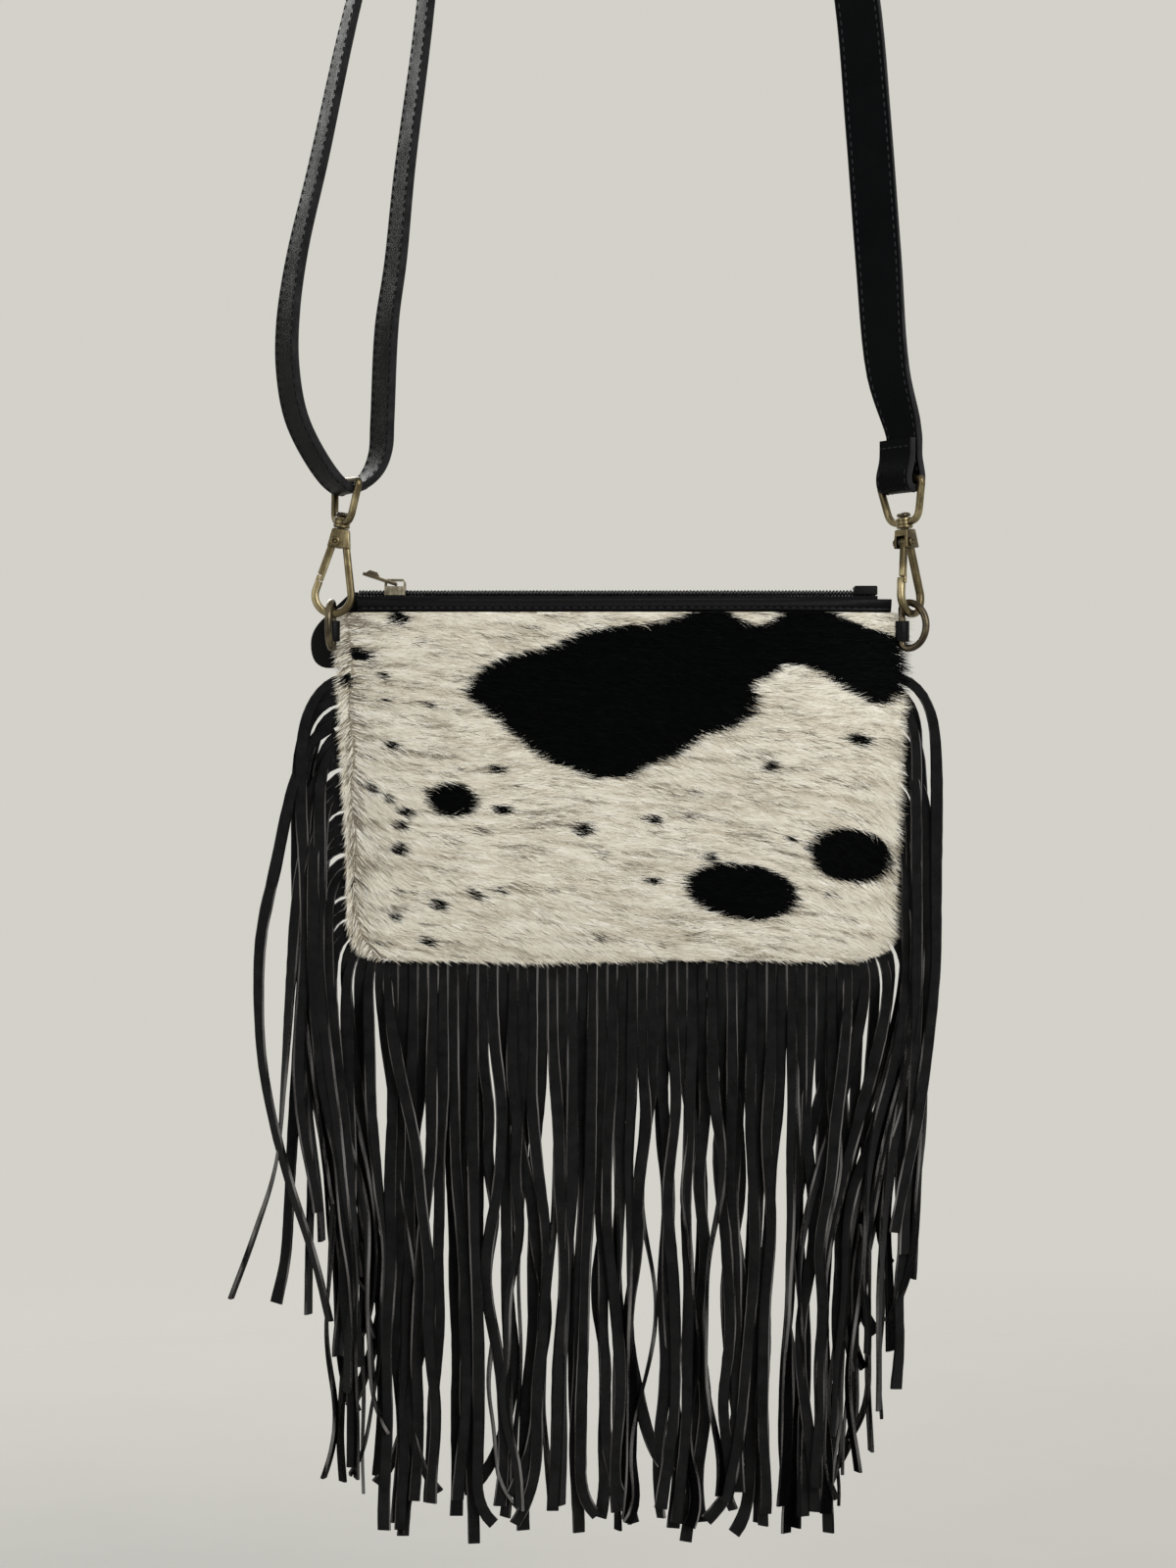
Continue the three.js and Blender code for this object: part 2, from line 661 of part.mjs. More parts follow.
function hookBody() {
  const rootZ = headTop - HEAD_HEIGHT / 2;
  const rootX = legFoot.x - (rootZ - legFoot.z) * Math.tan(lean);
  const bow = arc(0, bowMiddle, BOW_RADIUS, BOW_RADIUS, LEG_LEAN, -180 - LEG_LEAN, 18);
  const shank = wire([point(rootX, 0, rootZ), ...bow, nose], hookRadius);
  const half = HEAD_WIDTH / 2;
  const head = plate(outline([
    [-half, headTop - HEAD_CHAMFER],
    [-half + HEAD_CHAMFER, headTop],
    [half - HEAD_CHAMFER, headTop],
    [half, headTop - HEAD_CHAMFER],
    [half, headBottom],
    [-half, headBottom],
  ]), headDepth);
  const lip = plate(outline([
    [GAP / 2, -1],
    [GATE_HALF_WIDTH, -1],
    [GATE_HALF_WIDTH, GATE_LAP - GAP],
    [GAP / 2, GATE_LAP - GAP],
  ].map(onLeg)), GATE_THICKNESS);
  const slotTop = pivot.z + GATE_EYE_RADIUS + GAP;
  const slot = box(
    [-HEAD_WIDTH, pivot.x + GATE_EYE_RADIUS + GAP],
    [-slotWidth / 2, slotWidth / 2],
    [headBottom - 1, slotTop],
  );
  const rivetBore = rodAlongY(RIVET_RADIUS + GAP, headDepth + 2).translate(pivot.x, 0, pivot.z);
  const postBore = rodAlongZ(POST_RADIUS + GAP, headTop - POST_SEAT, headTop + 1);
  return carved([head, shank, lip], [slot, rivetBore, postBore]);
}

function hookGate() {
  const lever = plate(outline([
    [GATE_HALF_WIDTH, GATE_LAP],
    [GATE_HALF_WIDTH, pivotUp],
    [-GATE_HALF_WIDTH, pivotUp],
    [-GATE_HALF_WIDTH, GAP],
    [-GAP / 2, GAP],
    [-GAP / 2, GATE_LAP],
  ].map(onLeg)), GATE_THICKNESS, gateY);
  const eye = rodAlongY(GATE_EYE_RADIUS, GATE_THICKNESS).translate(pivot.x, gateY, pivot.z);
  const bore = rodAlongY(RIVET_RADIUS + GAP, GATE_THICKNESS + 2).translate(pivot.x, gateY, pivot.z);
  return carved([lever, eye], [bore]);
}

function gateRivet() {
  const middle = headDepth / 2 + GAP + RIVET_HEAD_HEIGHT / 2;
  const rivetHead = () => rodAlongY(RIVET_HEAD_RADIUS, RIVET_HEAD_HEIGHT);
  const shaft = rodAlongY(RIVET_RADIUS, 2 * middle);
  const heads = [rivetHead().translate(0, -middle, 0), rivetHead().translate(0, middle, 0)];
  return carved([shaft, ...heads]).translate(pivot.x, 0, pivot.z);
}

function gateSpring() {
  const inner = RIVET_RADIUS + GAP;
  const coil = carved([rodAlongY(inner + SPRING_WIRE, SPRING_WIDTH)], [rodAlongY(inner, SPRING_WIDTH + 2)]);
  return coil.translate(pivot.x, springY, pivot.z);
}

function swivelPost() {
  const foot = headTop - POST_SEAT + GAP;
  const neck = -EYE_DEPTH + BOSS_RISE + SWIVEL_GAP;
  return carved([
    rodAlongZ(POST_RADIUS, foot, neck + POST_HEAD_HEIGHT / 2),
    rodAlongZ(POST_HEAD_RADIUS, neck, neck + POST_HEAD_HEIGHT),
  ]);
}

function swivelEye() {
  const half = STRAP_WIDTH / 2 + GAP + EYE_FLARE + eyeRadius;
  const loop = wire(rounded([
    [-half, 0, EYE_TOP_CORNER],
    [half, 0, EYE_TOP_CORNER],
    [half - EYE_TAPER, -EYE_DEPTH, EYE_FOOT_CORNER],
    [EYE_TAPER - half, -EYE_DEPTH, EYE_FOOT_CORNER],
  ]), eyeRadius, true);
  const low = -EYE_DEPTH - BOSS_DROP;
  const high = -EYE_DEPTH + BOSS_RISE;
  const boss = rodAlongZ(BOSS_RADIUS, low, high);
  return carved([loop, boss], [rodAlongZ(POST_RADIUS + GAP, low - 1, high + 1)]);
}

// Each ring carries its hook's bow, and each hook's eye carries the strap.
function fasten(name, side, ringTurn, tilt, eyeTurn, hookTurn) {
  piece(`${name}_ring_tab`, ringTab(side), leather);
  const ringMesh = piece(`${name}_ring`, ring(), brass);
  ringMesh.position.set(side * barX, TAB_OFFSET, RING_Z);
  ringMesh.rotation.z = radians(ringTurn);

  const link = point(LINK_REACH, 0, 0).applyAxisAngle(point(0, 0, 1), radians(ringTurn));
  link.add(ringMesh.position);
  link.z += ringTop(LINK_REACH) - ringRadius - LINK_GAP - hookRadius;
  const hanger = new THREE.Group();
  hanger.rotation.y = radians(tilt);
  const eyeBar = point(0, 0, -bowBottom).applyAxisAngle(point(0, 1, 0), radians(tilt)).add(link);
  hanger.position.copy(eyeBar);
  pouch.add(hanger);

  const eye = piece(`${name}_swivel_eye`, swivelEye(), brass, hanger);
  eye.rotation.z = radians(eyeTurn);
  const hook = new THREE.Group();
  hook.rotation.z = radians(hookTurn);
  hanger.add(hook);
  piece(`${name}_hook`, hookBody(), brass, hook);
  piece(`${name}_swivel_post`, swivelPost(), brass, hook);
  piece(`${name}_gate`, hookGate(), brass, hook);
  piece(`${name}_gate_rivet`, gateRivet(), brass, hook);
  piece(`${name}_gate_spring`, gateSpring(), steel, hook);
  return eyeBar;
}

const leftBar = fasten('left', -1, LEFT_RING_TURN, LEFT_TILT, LEFT_EYE_TURN, LEFT_HOOK_TURN);
const rightBar = fasten('right', 1, RIGHT_RING_TURN, RIGHT_TILT, RIGHT_EYE_TURN, RIGHT_HOOK_TURN);

// Strap: from its end on the slider's middle bar, down and round the left eye, up through the slider,
// over the hang point and down to the fold on the right eye.

const hang = point(0, 0, STRAP_DROP);
const halfStrap = STRAP_THICKNESS / 2;
const sliderAt = hang.clone().add(point(SLIDER_X, 0, SLIDER_Z));
const sliderAxes = new THREE.Matrix4()
  .makeRotationY(radians(SLIDER_LEAN))
  .multiply(new THREE.Matrix4().makeRotationZ(radians(-SLIDER_TURN)));
const barRise = Math.sin(radians(LEFT_TILT)) * Math.cos(radians(LEFT_EYE_TURN));
const foldPlay = 1.2 * GAP + (barRise * STRAP_WIDTH) / 2;
const foldRadius = eyeRadius + foldPlay + halfStrap;

// The slider's own axes: X along its bars, Y through its face, Z along the strap.
function atSlider(through, along) {
  return point(0, through, along).applyMatrix4(sliderAxes).add(sliderAt);
}

const wrapInner = Math.hypot(FRAME_BAR, FRAME_THICKNESS) / 2 + GAP;
const wrap = wrapInner + STRAP_SKIVED / 2;
const overWrap = wrapInner + STRAP_SKIVED + GAP + halfStrap;
const underBar = FRAME_THICKNESS / 2 + 2 * GAP + halfStrap;
const besideRun = underBar + 2 * halfStrap + 2 * GAP;

function onWrap(angle) {
  return atSlider(wrap * Math.cos(radians(angle)), wrap * Math.sin(radians(angle)));
}

function fromBar(bar, x, y, z) {
  return bar.clone().add(point(x, y, z));
}

// A point of the fold around an eye's bar, in the upright plane across the bar.
function onFold(bar, turn, across, z) {
  const way = point(0, 1, 0).applyAxisAngle(point(0, 0, 1), radians(turn));
  return bar.clone().addScaledVector(way, across).add(point(0, 0, z));
}

function onLeft(across, z) {
  return onFold(leftBar, LEFT_EYE_TURN, across, z);
}

function onRight(across, z) {
  return onFold(rightBar, RIGHT_EYE_TURN, across, z);
}

const plyApart = halfStrap + GAP;

// Each stop: a point, the turn of the strap's width from +X towards the front, and its thickness.
const STRAP_ROUTE = [
  [onWrap(-50), SLIDER_TURN, STRAP_SKIVED],
  [onWrap(0), SLIDER_TURN, STRAP_SKIVED],
  [onWrap(45), SLIDER_TURN, STRAP_SKIVED],
  [onWrap(90), SLIDER_TURN, STRAP_SKIVED],
  [onWrap(135), SLIDER_TURN, STRAP_SKIVED],
  [onWrap(180), SLIDER_TURN, STRAP_SKIVED],
  [atSlider(-(wrap + besideRun) / 2, -FRAME_PITCH / 2 - 1), SLIDER_TURN, STRAP_SKIVED],
  [atSlider(-besideRun - 1, -FRAME_PITCH - 3), SLIDER_TURN, STRAP_SKIVED],
  [atSlider(-besideRun - 4, -FRAME_PITCH - 25), SLIDER_TURN, STRAP_THICKNESS],
  [fromBar(leftBar, 3.5, -3, 198), 70, STRAP_THICKNESS],
  [fromBar(leftBar, -11.5, -6.5, 128), 66, STRAP_THICKNESS],
  [fromBar(leftBar, -19.5, -10, 91.5), 64, STRAP_THICKNESS],
  [fromBar(leftBar, -23, -12.2, 65), 62, STRAP_THICKNESS],
  [fromBar(leftBar, -23.2, -12.3, 45), 62, STRAP_THICKNESS],
  [fromBar(leftBar, -19.9, -10.6, 25), 62, STRAP_THICKNESS],
  [onLeft(-14, 9), 62, STRAP_THICKNESS],
  [onLeft(-5.4, -1.2), 62, STRAP_THICKNESS],
  [onLeft(0, -foldRadius), 62, STRAP_THICKNESS],
  [onLeft(6, -1), 62, STRAP_THICKNESS],
  [onLeft(11.5, 4.5), 62, STRAP_THICKNESS],
  [onLeft(14.8, 13), 62, STRAP_THICKNESS],
  [fromBar(leftBar, 13.8, 7.3, 25), 62, STRAP_THICKNESS],
  [fromBar(leftBar, 15.6, 8, 65), 62, STRAP_THICKNESS],
  [fromBar(leftBar, 19.2, 8.5, 91.5), 64, STRAP_THICKNESS],
  [fromBar(leftBar, 22.8, 8.5, 128), 66, STRAP_THICKNESS],
  [fromBar(leftBar, 31.7, 8, 198), 70, STRAP_THICKNESS],
  [atSlider(-1, -FRAME_PITCH - 22), SLIDER_TURN, STRAP_THICKNESS],
  [atSlider(-underBar, -FRAME_PITCH - 2), SLIDER_TURN, STRAP_THICKNESS],
  [atSlider(-underBar, -FRAME_PITCH + FRAME_BAR / 2), SLIDER_TURN, STRAP_THICKNESS],
  [atSlider((overWrap - underBar) / 2, -FRAME_PITCH / 2), SLIDER_TURN, STRAP_THICKNESS],
  [atSlider(overWrap - 0.3, -1.6), SLIDER_TURN, STRAP_THICKNESS],
  [atSlider(overWrap - 0.3, 1.6), SLIDER_TURN, STRAP_THICKNESS],
  [atSlider((overWrap - underBar) / 2, FRAME_PITCH / 2), SLIDER_TURN, STRAP_THICKNESS],
  [atSlider(-underBar, FRAME_PITCH - FRAME_BAR / 2), SLIDER_TURN, STRAP_THICKNESS],
  [atSlider(-underBar, FRAME_PITCH + 2), SLIDER_TURN, STRAP_THICKNESS],
  [hang.clone().add(point(-57, 0, -94)), 82, STRAP_THICKNESS],
  [hang.clone().add(point(-44, 0, -52)), 86, STRAP_THICKNESS],
  [hang.clone().add(point(-27, 0, -17)), 90, STRAP_THICKNESS],
  [hang.clone().add(point(-13, 0, halfStrap)), 90, STRAP_THICKNESS],
  [hang.clone().add(point(-6, 0, halfStrap)), 90, STRAP_THICKNESS],
  [hang.clone().add(point(6, 0, halfStrap)), 90, STRAP_THICKNESS],
  [hang.clone().add(point(13, 0, halfStrap)), 90, STRAP_THICKNESS],
  [hang.clone().add(point(29, 0, -18)), 88, STRAP_THICKNESS],
  [hang.clone().add(point(48, 0, -54)), 80, STRAP_THICKNESS],
  [hang.clone().add(point(66, 0, -105)), 68, STRAP_THICKNESS],
  [hang.clone().add(point(83, 0, -175)), 48, STRAP_THICKNESS],
  [fromBar(rightBar, -17.9, 2, 200), 26, STRAP_THICKNESS],
  [fromBar(rightBar, -13, 2, 146), 18, STRAP_THICKNESS],
  [fromBar(rightBar, -9, 2, 93), 18, STRAP_THICKNESS],
  [fromBar(rightBar, -5, 1.5, 45), 34, STRAP_THICKNESS],
  [onRight(plyApart, 20), 52, STRAP_THICKNESS],
  [onRight(plyApart + 0.3, 10), 52, STRAP_THICKNESS],
  [onRight(foldRadius, 1), 52, STRAP_THICKNESS],
  [onRight(foldRadius * 0.7, -foldRadius * 0.75), 52, STRAP_THICKNESS],
  [onRight(-foldRadius * 0.7, -foldRadius * 0.75), 52, STRAP_THICKNESS],
  [onRight(-foldRadius, 1), 52, STRAP_THICKNESS],
  [onRight(-plyApart - 0.3, 9), 52, STRAP_THICKNESS],
  [onRight(-plyApart, 17), 52, STRAP_THICKNESS],
];

function strap() {
  const curve = new THREE.CatmullRomCurve3(STRAP_ROUTE.map(([at]) => at));
  const spans = STRAP_ROUTE.length - 1;
  const count = spans * STRAP_STEPS;
  const rings = Array.from({ length: count + 1 }, (_, i) => {
    const at = Math.min(Math.floor(i / STRAP_STEPS), spans - 1);
    const share = i / STRAP_STEPS - at;
    const turn = radians(THREE.MathUtils.lerp(STRAP_ROUTE[at][1], STRAP_ROUTE[at + 1][1], share));
    const thick = THREE.MathUtils.lerp(STRAP_ROUTE[at][2], STRAP_ROUTE[at + 1][2], share);
    const middle = curve.getPoint(i / count);
    const along = curve.getTangent(i / count);
    const across = point(Math.cos(turn), -Math.sin(turn), 0);
    across.addScaledVector(along, -across.dot(along)).normalize();
    const face = new THREE.Vector3().crossVectors(along, across);
    const corner = (a, b) => middle
      .clone()
      .addScaledVector(across, (a * STRAP_WIDTH) / 2)
      .addScaledVector(face, (b * thick) / 2);
    return [corner(-1, -1), corner(1, -1), corner(1, 1), corner(-1, 1)];
  });
  return loft(rings);
}

piece('strap', strap(), leather);

function strapSlider() {
  const inside = STRAP_WIDTH / 2 + FRAME_PLAY;
  const half = inside + FRAME_BAR;
  const end = FRAME_PITCH + FRAME_BAR / 2;
  const shape = outline([[-half, -end], [half, -end], [half, end], [-half, end]]);
  [-1, 1].forEach((side) => {
    const low = side * (FRAME_BAR / 2);
    const high = side * (FRAME_PITCH - FRAME_BAR / 2);
    const corners = [[-inside, low], [inside, low], [inside, high], [-inside, high]];
    shape.holes.push(new THREE.Path(corners.map(([x, y]) => new THREE.Vector2(x, y))));
  });
  return plate(shape, FRAME_THICKNESS);
}

const slide = piece('strap_slider', strapSlider(), brass);
slide.setRotationFromMatrix(sliderAxes);
slide.position.copy(sliderAt);

export default object;
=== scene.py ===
"""A fringed hair-on hide pouch on a crossbody strap: its hide, leather, zip and antique brass."""

import math

import bpy
import numpy as np
from mathutils import Matrix


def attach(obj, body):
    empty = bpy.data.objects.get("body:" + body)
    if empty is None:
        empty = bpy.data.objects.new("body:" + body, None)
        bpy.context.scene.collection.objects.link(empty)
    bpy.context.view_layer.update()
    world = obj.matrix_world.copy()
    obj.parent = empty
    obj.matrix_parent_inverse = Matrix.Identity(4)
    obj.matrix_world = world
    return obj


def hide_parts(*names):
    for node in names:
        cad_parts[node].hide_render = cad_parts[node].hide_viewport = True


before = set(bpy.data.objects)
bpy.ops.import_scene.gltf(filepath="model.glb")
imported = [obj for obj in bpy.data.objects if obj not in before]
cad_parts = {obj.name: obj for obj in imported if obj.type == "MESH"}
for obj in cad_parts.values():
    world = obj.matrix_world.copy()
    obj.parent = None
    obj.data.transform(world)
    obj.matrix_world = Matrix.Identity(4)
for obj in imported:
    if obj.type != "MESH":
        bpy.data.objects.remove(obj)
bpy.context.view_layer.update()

MM = 0.001
RIM = -505.0  # height of the zip in the frame, in millimetres
FLOOR = -1.02
PIXEL = 0.4035  # millimetres to a pixel of the photograph, in the pouch's plane
rng = np.random.default_rng(41)


# Plain tools


def linear(red, green, blue):
    """A screen colour, 0 to 255, as the shader's linear colour."""
    shares = [c / 255 for c in (red, green, blue)]
    return tuple(s / 12.92 if s <= 0.04045 else ((s + 0.055) / 1.055) ** 2.4 for s in shares) + (1.0,)


def from_pixels(points):
    """Photograph pixels as x and z in millimetres, z from the zip."""
    p = np.asarray(points, float)
    return np.stack([(p[..., 0] - 630) * PIXEL, (602 - p[..., 1]) * PIXEL], -1)


def smooth_step(t):
    t = np.clip(t, 0, 1)
    return t * t * (3 - 2 * t)


def through(points, count):
    """Evenly spaced points on a smooth curve through the given ones."""
    p = np.asarray(points, float)
    p = np.vstack([2 * p[0] - p[1], p, 2 * p[-1] - p[-2]])
    t = np.linspace(0, 1, 12, endpoint=False)[:, None]
    runs = []
    for a, b, c, d in zip(p[:-3], p[1:-2], p[2:-1], p[3:]):
        square, cube = 2 * a - 5 * b + 4 * c - d, 3 * b - a - 3 * c + d
        runs.append(0.5 * (2 * b + (c - a) * t + square * t**2 + cube * t**3))
    fine = np.vstack(runs + [p[-2:-1]])
    return resample(fine, count)


def resample(fine, count):
    steps = np.linalg.norm(np.diff(fine[:, :3], axis=0), axis=1)
    along = np.concatenate([[0], np.cumsum(steps)])
    at = np.linspace(0, along[-1], count)
    return np.stack([np.interp(at, along, fine[:, k]) for k in range(fine.shape[1])], -1)


def directions(path):
    tangent = np.gradient(path, axis=0)
    return tangent / np.linalg.norm(tangent, axis=1, keepdims=True)


def new_mesh(name, points, faces, materials, slots=None, smooth=True):
    """An object at the origin from points in millimetres."""
    mesh = bpy.data.meshes.new(name)
    faces = np.asarray(faces)
    size = faces.shape[1]
    mesh.vertices.add(len(points))
    mesh.vertices.foreach_set("co", (np.asarray(points, float) * MM).ravel())
    mesh.loops.add(faces.size)
    mesh.loops.foreach_set("vertex_index", faces.ravel().astype(np.int32))
    mesh.polygons.add(len(faces))
    mesh.polygons.foreach_set("loop_start", np.arange(0, faces.size, size, dtype=np.int32))
    if slots is not None:
        mesh.polygons.foreach_set("material_index", np.asarray(slots, np.int32))
    if smooth:
        mesh.polygons.foreach_set("use_smooth", np.ones(len(faces), bool))
    mesh.update()
    mesh.validate()
    piece = bpy.data.objects.new(name, mesh)
    bpy.context.scene.collection.objects.link(piece)
    for material in materials:
        mesh.materials.append(material)
    return piece


def settle(piece, body, *nodes, slot=None):
    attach(piece, body)
    if nodes:
        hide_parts(*nodes)
    return piece


def pick_only(piece):
    bpy.ops.object.select_all(action="DESELECT")
    piece.select_set(True)
    bpy.context.view_layer.objects.active = piece


def shape(piece, *steps):
    """Edit-mode operators, each with its settings, on the whole of one piece."""
    pick_only(piece)
    bpy.ops.object.mode_set(mode="EDIT")
    bpy.ops.mesh.select_all(action="SELECT")
    for operator, settings in steps:
        operator(**settings)
    bpy.ops.object.mode_set(mode="OBJECT")


def ease_edges(piece, offset, segments=3):
    shape(piece, (bpy.ops.mesh.bevel, {"offset": offset, "segments": segments, "affect": "EDGES"}))


def smooth_within(piece, degrees):
    pick_only(piece)
    bpy.ops.object.shade_smooth_by_angle(angle=math.radians(degrees))


FACE_OUT = (bpy.ops.mesh.normals_make_consistent, {"inside": False})


# Shader maths


class Value:
    """A node's output that can be used in expressions."""

    def __init__(self, finish, socket):
        self.finish = finish
        self.socket = socket

    def __add__(self, other):
        return self.finish.maths("ADD", self, other)

    def __radd__(self, other):
        return self.finish.maths("ADD", other, self)

    def __sub__(self, other):
        return self.finish.maths("SUBTRACT", self, other)

    def __rsub__(self, other):
        return self.finish.maths("SUBTRACT", other, self)

    def __mul__(self, other):
        return self.finish.maths("MULTIPLY", self, other)

    def __rmul__(self, other):
        return self.finish.maths("MULTIPLY", other, self)


class Finish:
    """A material with its nodes."""

    def __init__(self, name, roughness=0.5, metallic=0.0, **constants):
        self.material = bpy.data.materials.new(name)
        self.material.use_nodes = True
        self.nodes = self.material.node_tree.nodes
        self.links = self.material.node_tree.links
        self.shader = self.nodes["Principled BSDF"]
        self.set("Roughness", roughness)
        self.set("Metallic", metallic)
        for socket, value in constants.items():
            self.set(socket.replace("_", " "), value)

    def plug(self, socket, value):
        if isinstance(value, Value):
            self.links.new(value.socket, socket)
        else:
            socket.default_value = value

    def set(self, socket, value):
        self.plug(self.shader.inputs[socket], value)

    def add(self, kind, settings=None, out=0, **sockets):
        node = self.nodes.new(kind)
        for key, value in (settings or {}).items():
            if key == "stops":
                while len(node.color_ramp.elements) < len(value):
                    node.color_ramp.elements.new(1.0)
                for element, (place, colour) in zip(node.color_ramp.elements, value):
                    element.position = place
                    element.color = colour
            else:
                setattr(node, key, value)
        for key, value in sockets.items():
            numbered = key[0] == "i" and key[1:].isdigit()
            self.plug(node.inputs[int(key[1:]) if numbered else key.replace("_", " ")], value)
        return Value(self, node.outputs[out])

    def maths(self, operation, first, second):
        return self.add("ShaderNodeMath", {"operation": operation}, i0=first, i1=second)

    def place(self, scale=(1, 1, 1), turn=(0, 0, 0)):
        at = self.add("ShaderNodeTexCoord", out=3)
        return self.add("ShaderNodeMapping", Vector=at, Scale=scale, Rotation=turn)

    def noise(self, at, scale, detail=3.0, roughness=0.55):
        return self.add("ShaderNodeTexNoise", Vector=at, Scale=scale, Detail=detail, Roughness=roughness)

    def cells(self, at, scale, feature="F1", out=0):
        return self.add("ShaderNodeTexVoronoi", {"feature": feature}, out=out, Vector=at, Scale=scale)

    def span(self, value, low, high, start=0.0, end=1.0):
        sockets = {"i1": low, "i2": high, "i3": start, "i4": end}
        return self.add("ShaderNodeMapRange", Value=value, **sockets)

    def mix(self, share, first, second):
        return self.add("ShaderNodeMix", {"data_type": "RGBA"}, out=2, i0=share, i6=first, i7=second)

    def bump(self, height, strength, depth):
        self.set("Normal", self.add("ShaderNodeBump", Height=height, Strength=strength, Distance=depth))


def grain_leather(name, colour, worn, scale=1.0, depth=0.00025, gloss=0.1):
    f = Finish(name, Specular_IOR_Level=gloss)
    at = f.place()
    pebbles = f.cells(at, 1100 * scale, "SMOOTH_F1")
    pores = f.noise(at, 2600 * scale, 2.0)
    cloud = f.noise(at, 60, 4.0)
    scuff = f.span(f.noise(at, 330, 5.0, 0.7), 0.55, 0.75)
    f.set("Base Color", f.mix(f.span(cloud, 0.35, 0.7) * 0.5 + scuff * 0.35, colour, worn))
    f.set("Roughness", f.span(cloud + scuff * 0.3, 0.3, 0.9, 0.38, 0.62))
    f.bump(pebbles * 0.8 + pores * 0.25, 0.55, depth)
    return f.material


def suede(name, colour, pale):
    f = Finish(name, roughness=0.95, Specular_IOR_Level=0.05, Sheen_Weight=0.12, Sheen_Roughness=0.5)
    at = f.place()
    nap = f.noise(f.place((1, 1, 0.25)), 2400, 3.0, 0.7)
    cloud = f.noise(at, 140, 4.0)
    f.set("Base Color", f.mix(f.span(cloud * 0.6 + nap * 0.4, 0.35, 0.65), colour, pale))
    f.bump(nap, 0.6, 0.0003)
    return f.material


def strand_cut(name, dark, pale):
    """A knife-cut edge, pale on some strands and dyed dark on others."""
    f = Finish(name, roughness=0.9, Specular_IOR_Level=0.05)
    along = f.noise(f.place((1, 1, 0.08)), 190, 2.0)
    nap = f.noise(f.place(), 1500, 3.0, 0.7)
    f.set("Base Color", f.mix(f.span(along * 0.85 + nap * 0.15, 0.46, 0.62), dark, pale))
    f.bump(nap, 0.7, 0.0003)
    return f.material


def antique_brass(name, dark, warm, bright):
    """Brushed metal, darkened in soft clouds."""
    f = Finish(name, metallic=1.0)
    cloud = f.noise(f.place(), 70, 3.0)
    brush = f.noise(f.place((1, 1, 0.06)), 3200, 2.0)
    tone = f.mix(f.span(cloud, 0.38, 0.6), dark, warm)
    f.set("Base Color", f.mix(f.span(cloud * 0.75 + brush * 0.25, 0.5, 0.62), tone, bright))
    f.set("Roughness", f.span(brush, 0.25, 0.75, 0.26, 0.4))
    f.bump(brush, 0.08, 0.0001)
    return f.material


def woven(name, colour, pale, scale):
    f = Finish(name, roughness=0.9, Specular_IOR_Level=0.06)
    at = f.place()
    warp = f.add("ShaderNodeTexWave", {"bands_direction": "X"}, out=1, Vector=at, Scale=scale, Distortion=1.0)
    weft = f.add("ShaderNodeTexWave", {"bands_direction": "Z"}, out=1, Vector=at, Scale=scale, Distortion=1.0)
    cloth = warp * 0.5 + weft * 0.5
    f.set("Base Color", f.mix(f.span(cloth, 0.2, 0.8), colour, pale))
    f.bump(cloth, 0.5, 0.0002)
    return f.material


def plain_hair(name, colour, gloss):
    return Finish(name, roughness=0.55, Specular_IOR_Level=gloss, Base_Color=colour).material


def moulded_nylon(name, colour, pale):
    f = Finish(name, Specular_IOR_Level=0.5)
    cloud = f.noise(f.place(), 900, 3.0)
    f.set("Base Color", f.mix(f.span(cloud, 0.4, 0.65), colour, pale))
    f.set("Roughness", f.span(cloud, 0.3, 0.7, 0.2, 0.42))
    return f.material


black_leather = grain_leather("black leather", linear(5, 5, 6), linear(12, 12, 13), gloss=0.1)
fringe_grain = grain_leather("fringe grain side", linear(2, 2, 3), linear(7, 7, 8), 0.8, 0.0009, 0.02)
fringe_flesh = suede("fringe flesh side", linear(10, 10, 10), linear(27, 26, 26))
cut_edge = suede("raw cut edge", linear(52, 51, 50), linear(104, 101, 99))
strap_leather = grain_leather("strap leather", linear(4, 5, 6), linear(11, 12, 13), 1.2, 0.0003, 0.035)
strand_edge = strand_cut("strand cut edge", linear(15, 15, 15), linear(112, 109, 106))
strap_edge = suede("strap cut edge", linear(22, 22, 23), linear(44, 43, 43))
thread = woven("black thread", linear(26, 26, 28), linear(58, 58, 62), 900)
zip_weave = woven("zip tape weave", linear(12, 12, 13), linear(30, 30, 32), 700)
lining_cloth = woven("lining cloth", linear(34, 31, 29), linear(58, 53, 49), 420)
coil_nylon = moulded_nylon("coil nylon", linear(12, 13, 14), linear(30, 31, 33))
brass = antique_brass("antique brass", linear(84, 75, 55), linear(116, 105, 79), linear(156, 144, 112))
dark_brass = antique_brass("dark brass", linear(56, 50, 42), linear(84, 76, 62), linear(124, 113, 92))
pale_brass = antique_brass("pale brass", linear(84, 79, 68), linear(126, 119, 103), linear(178, 171, 152))
spring_steel = antique_brass("spring steel", linear(90, 88, 84), linear(140, 138, 132), linear(180, 178, 172))


# Camera, light and floor


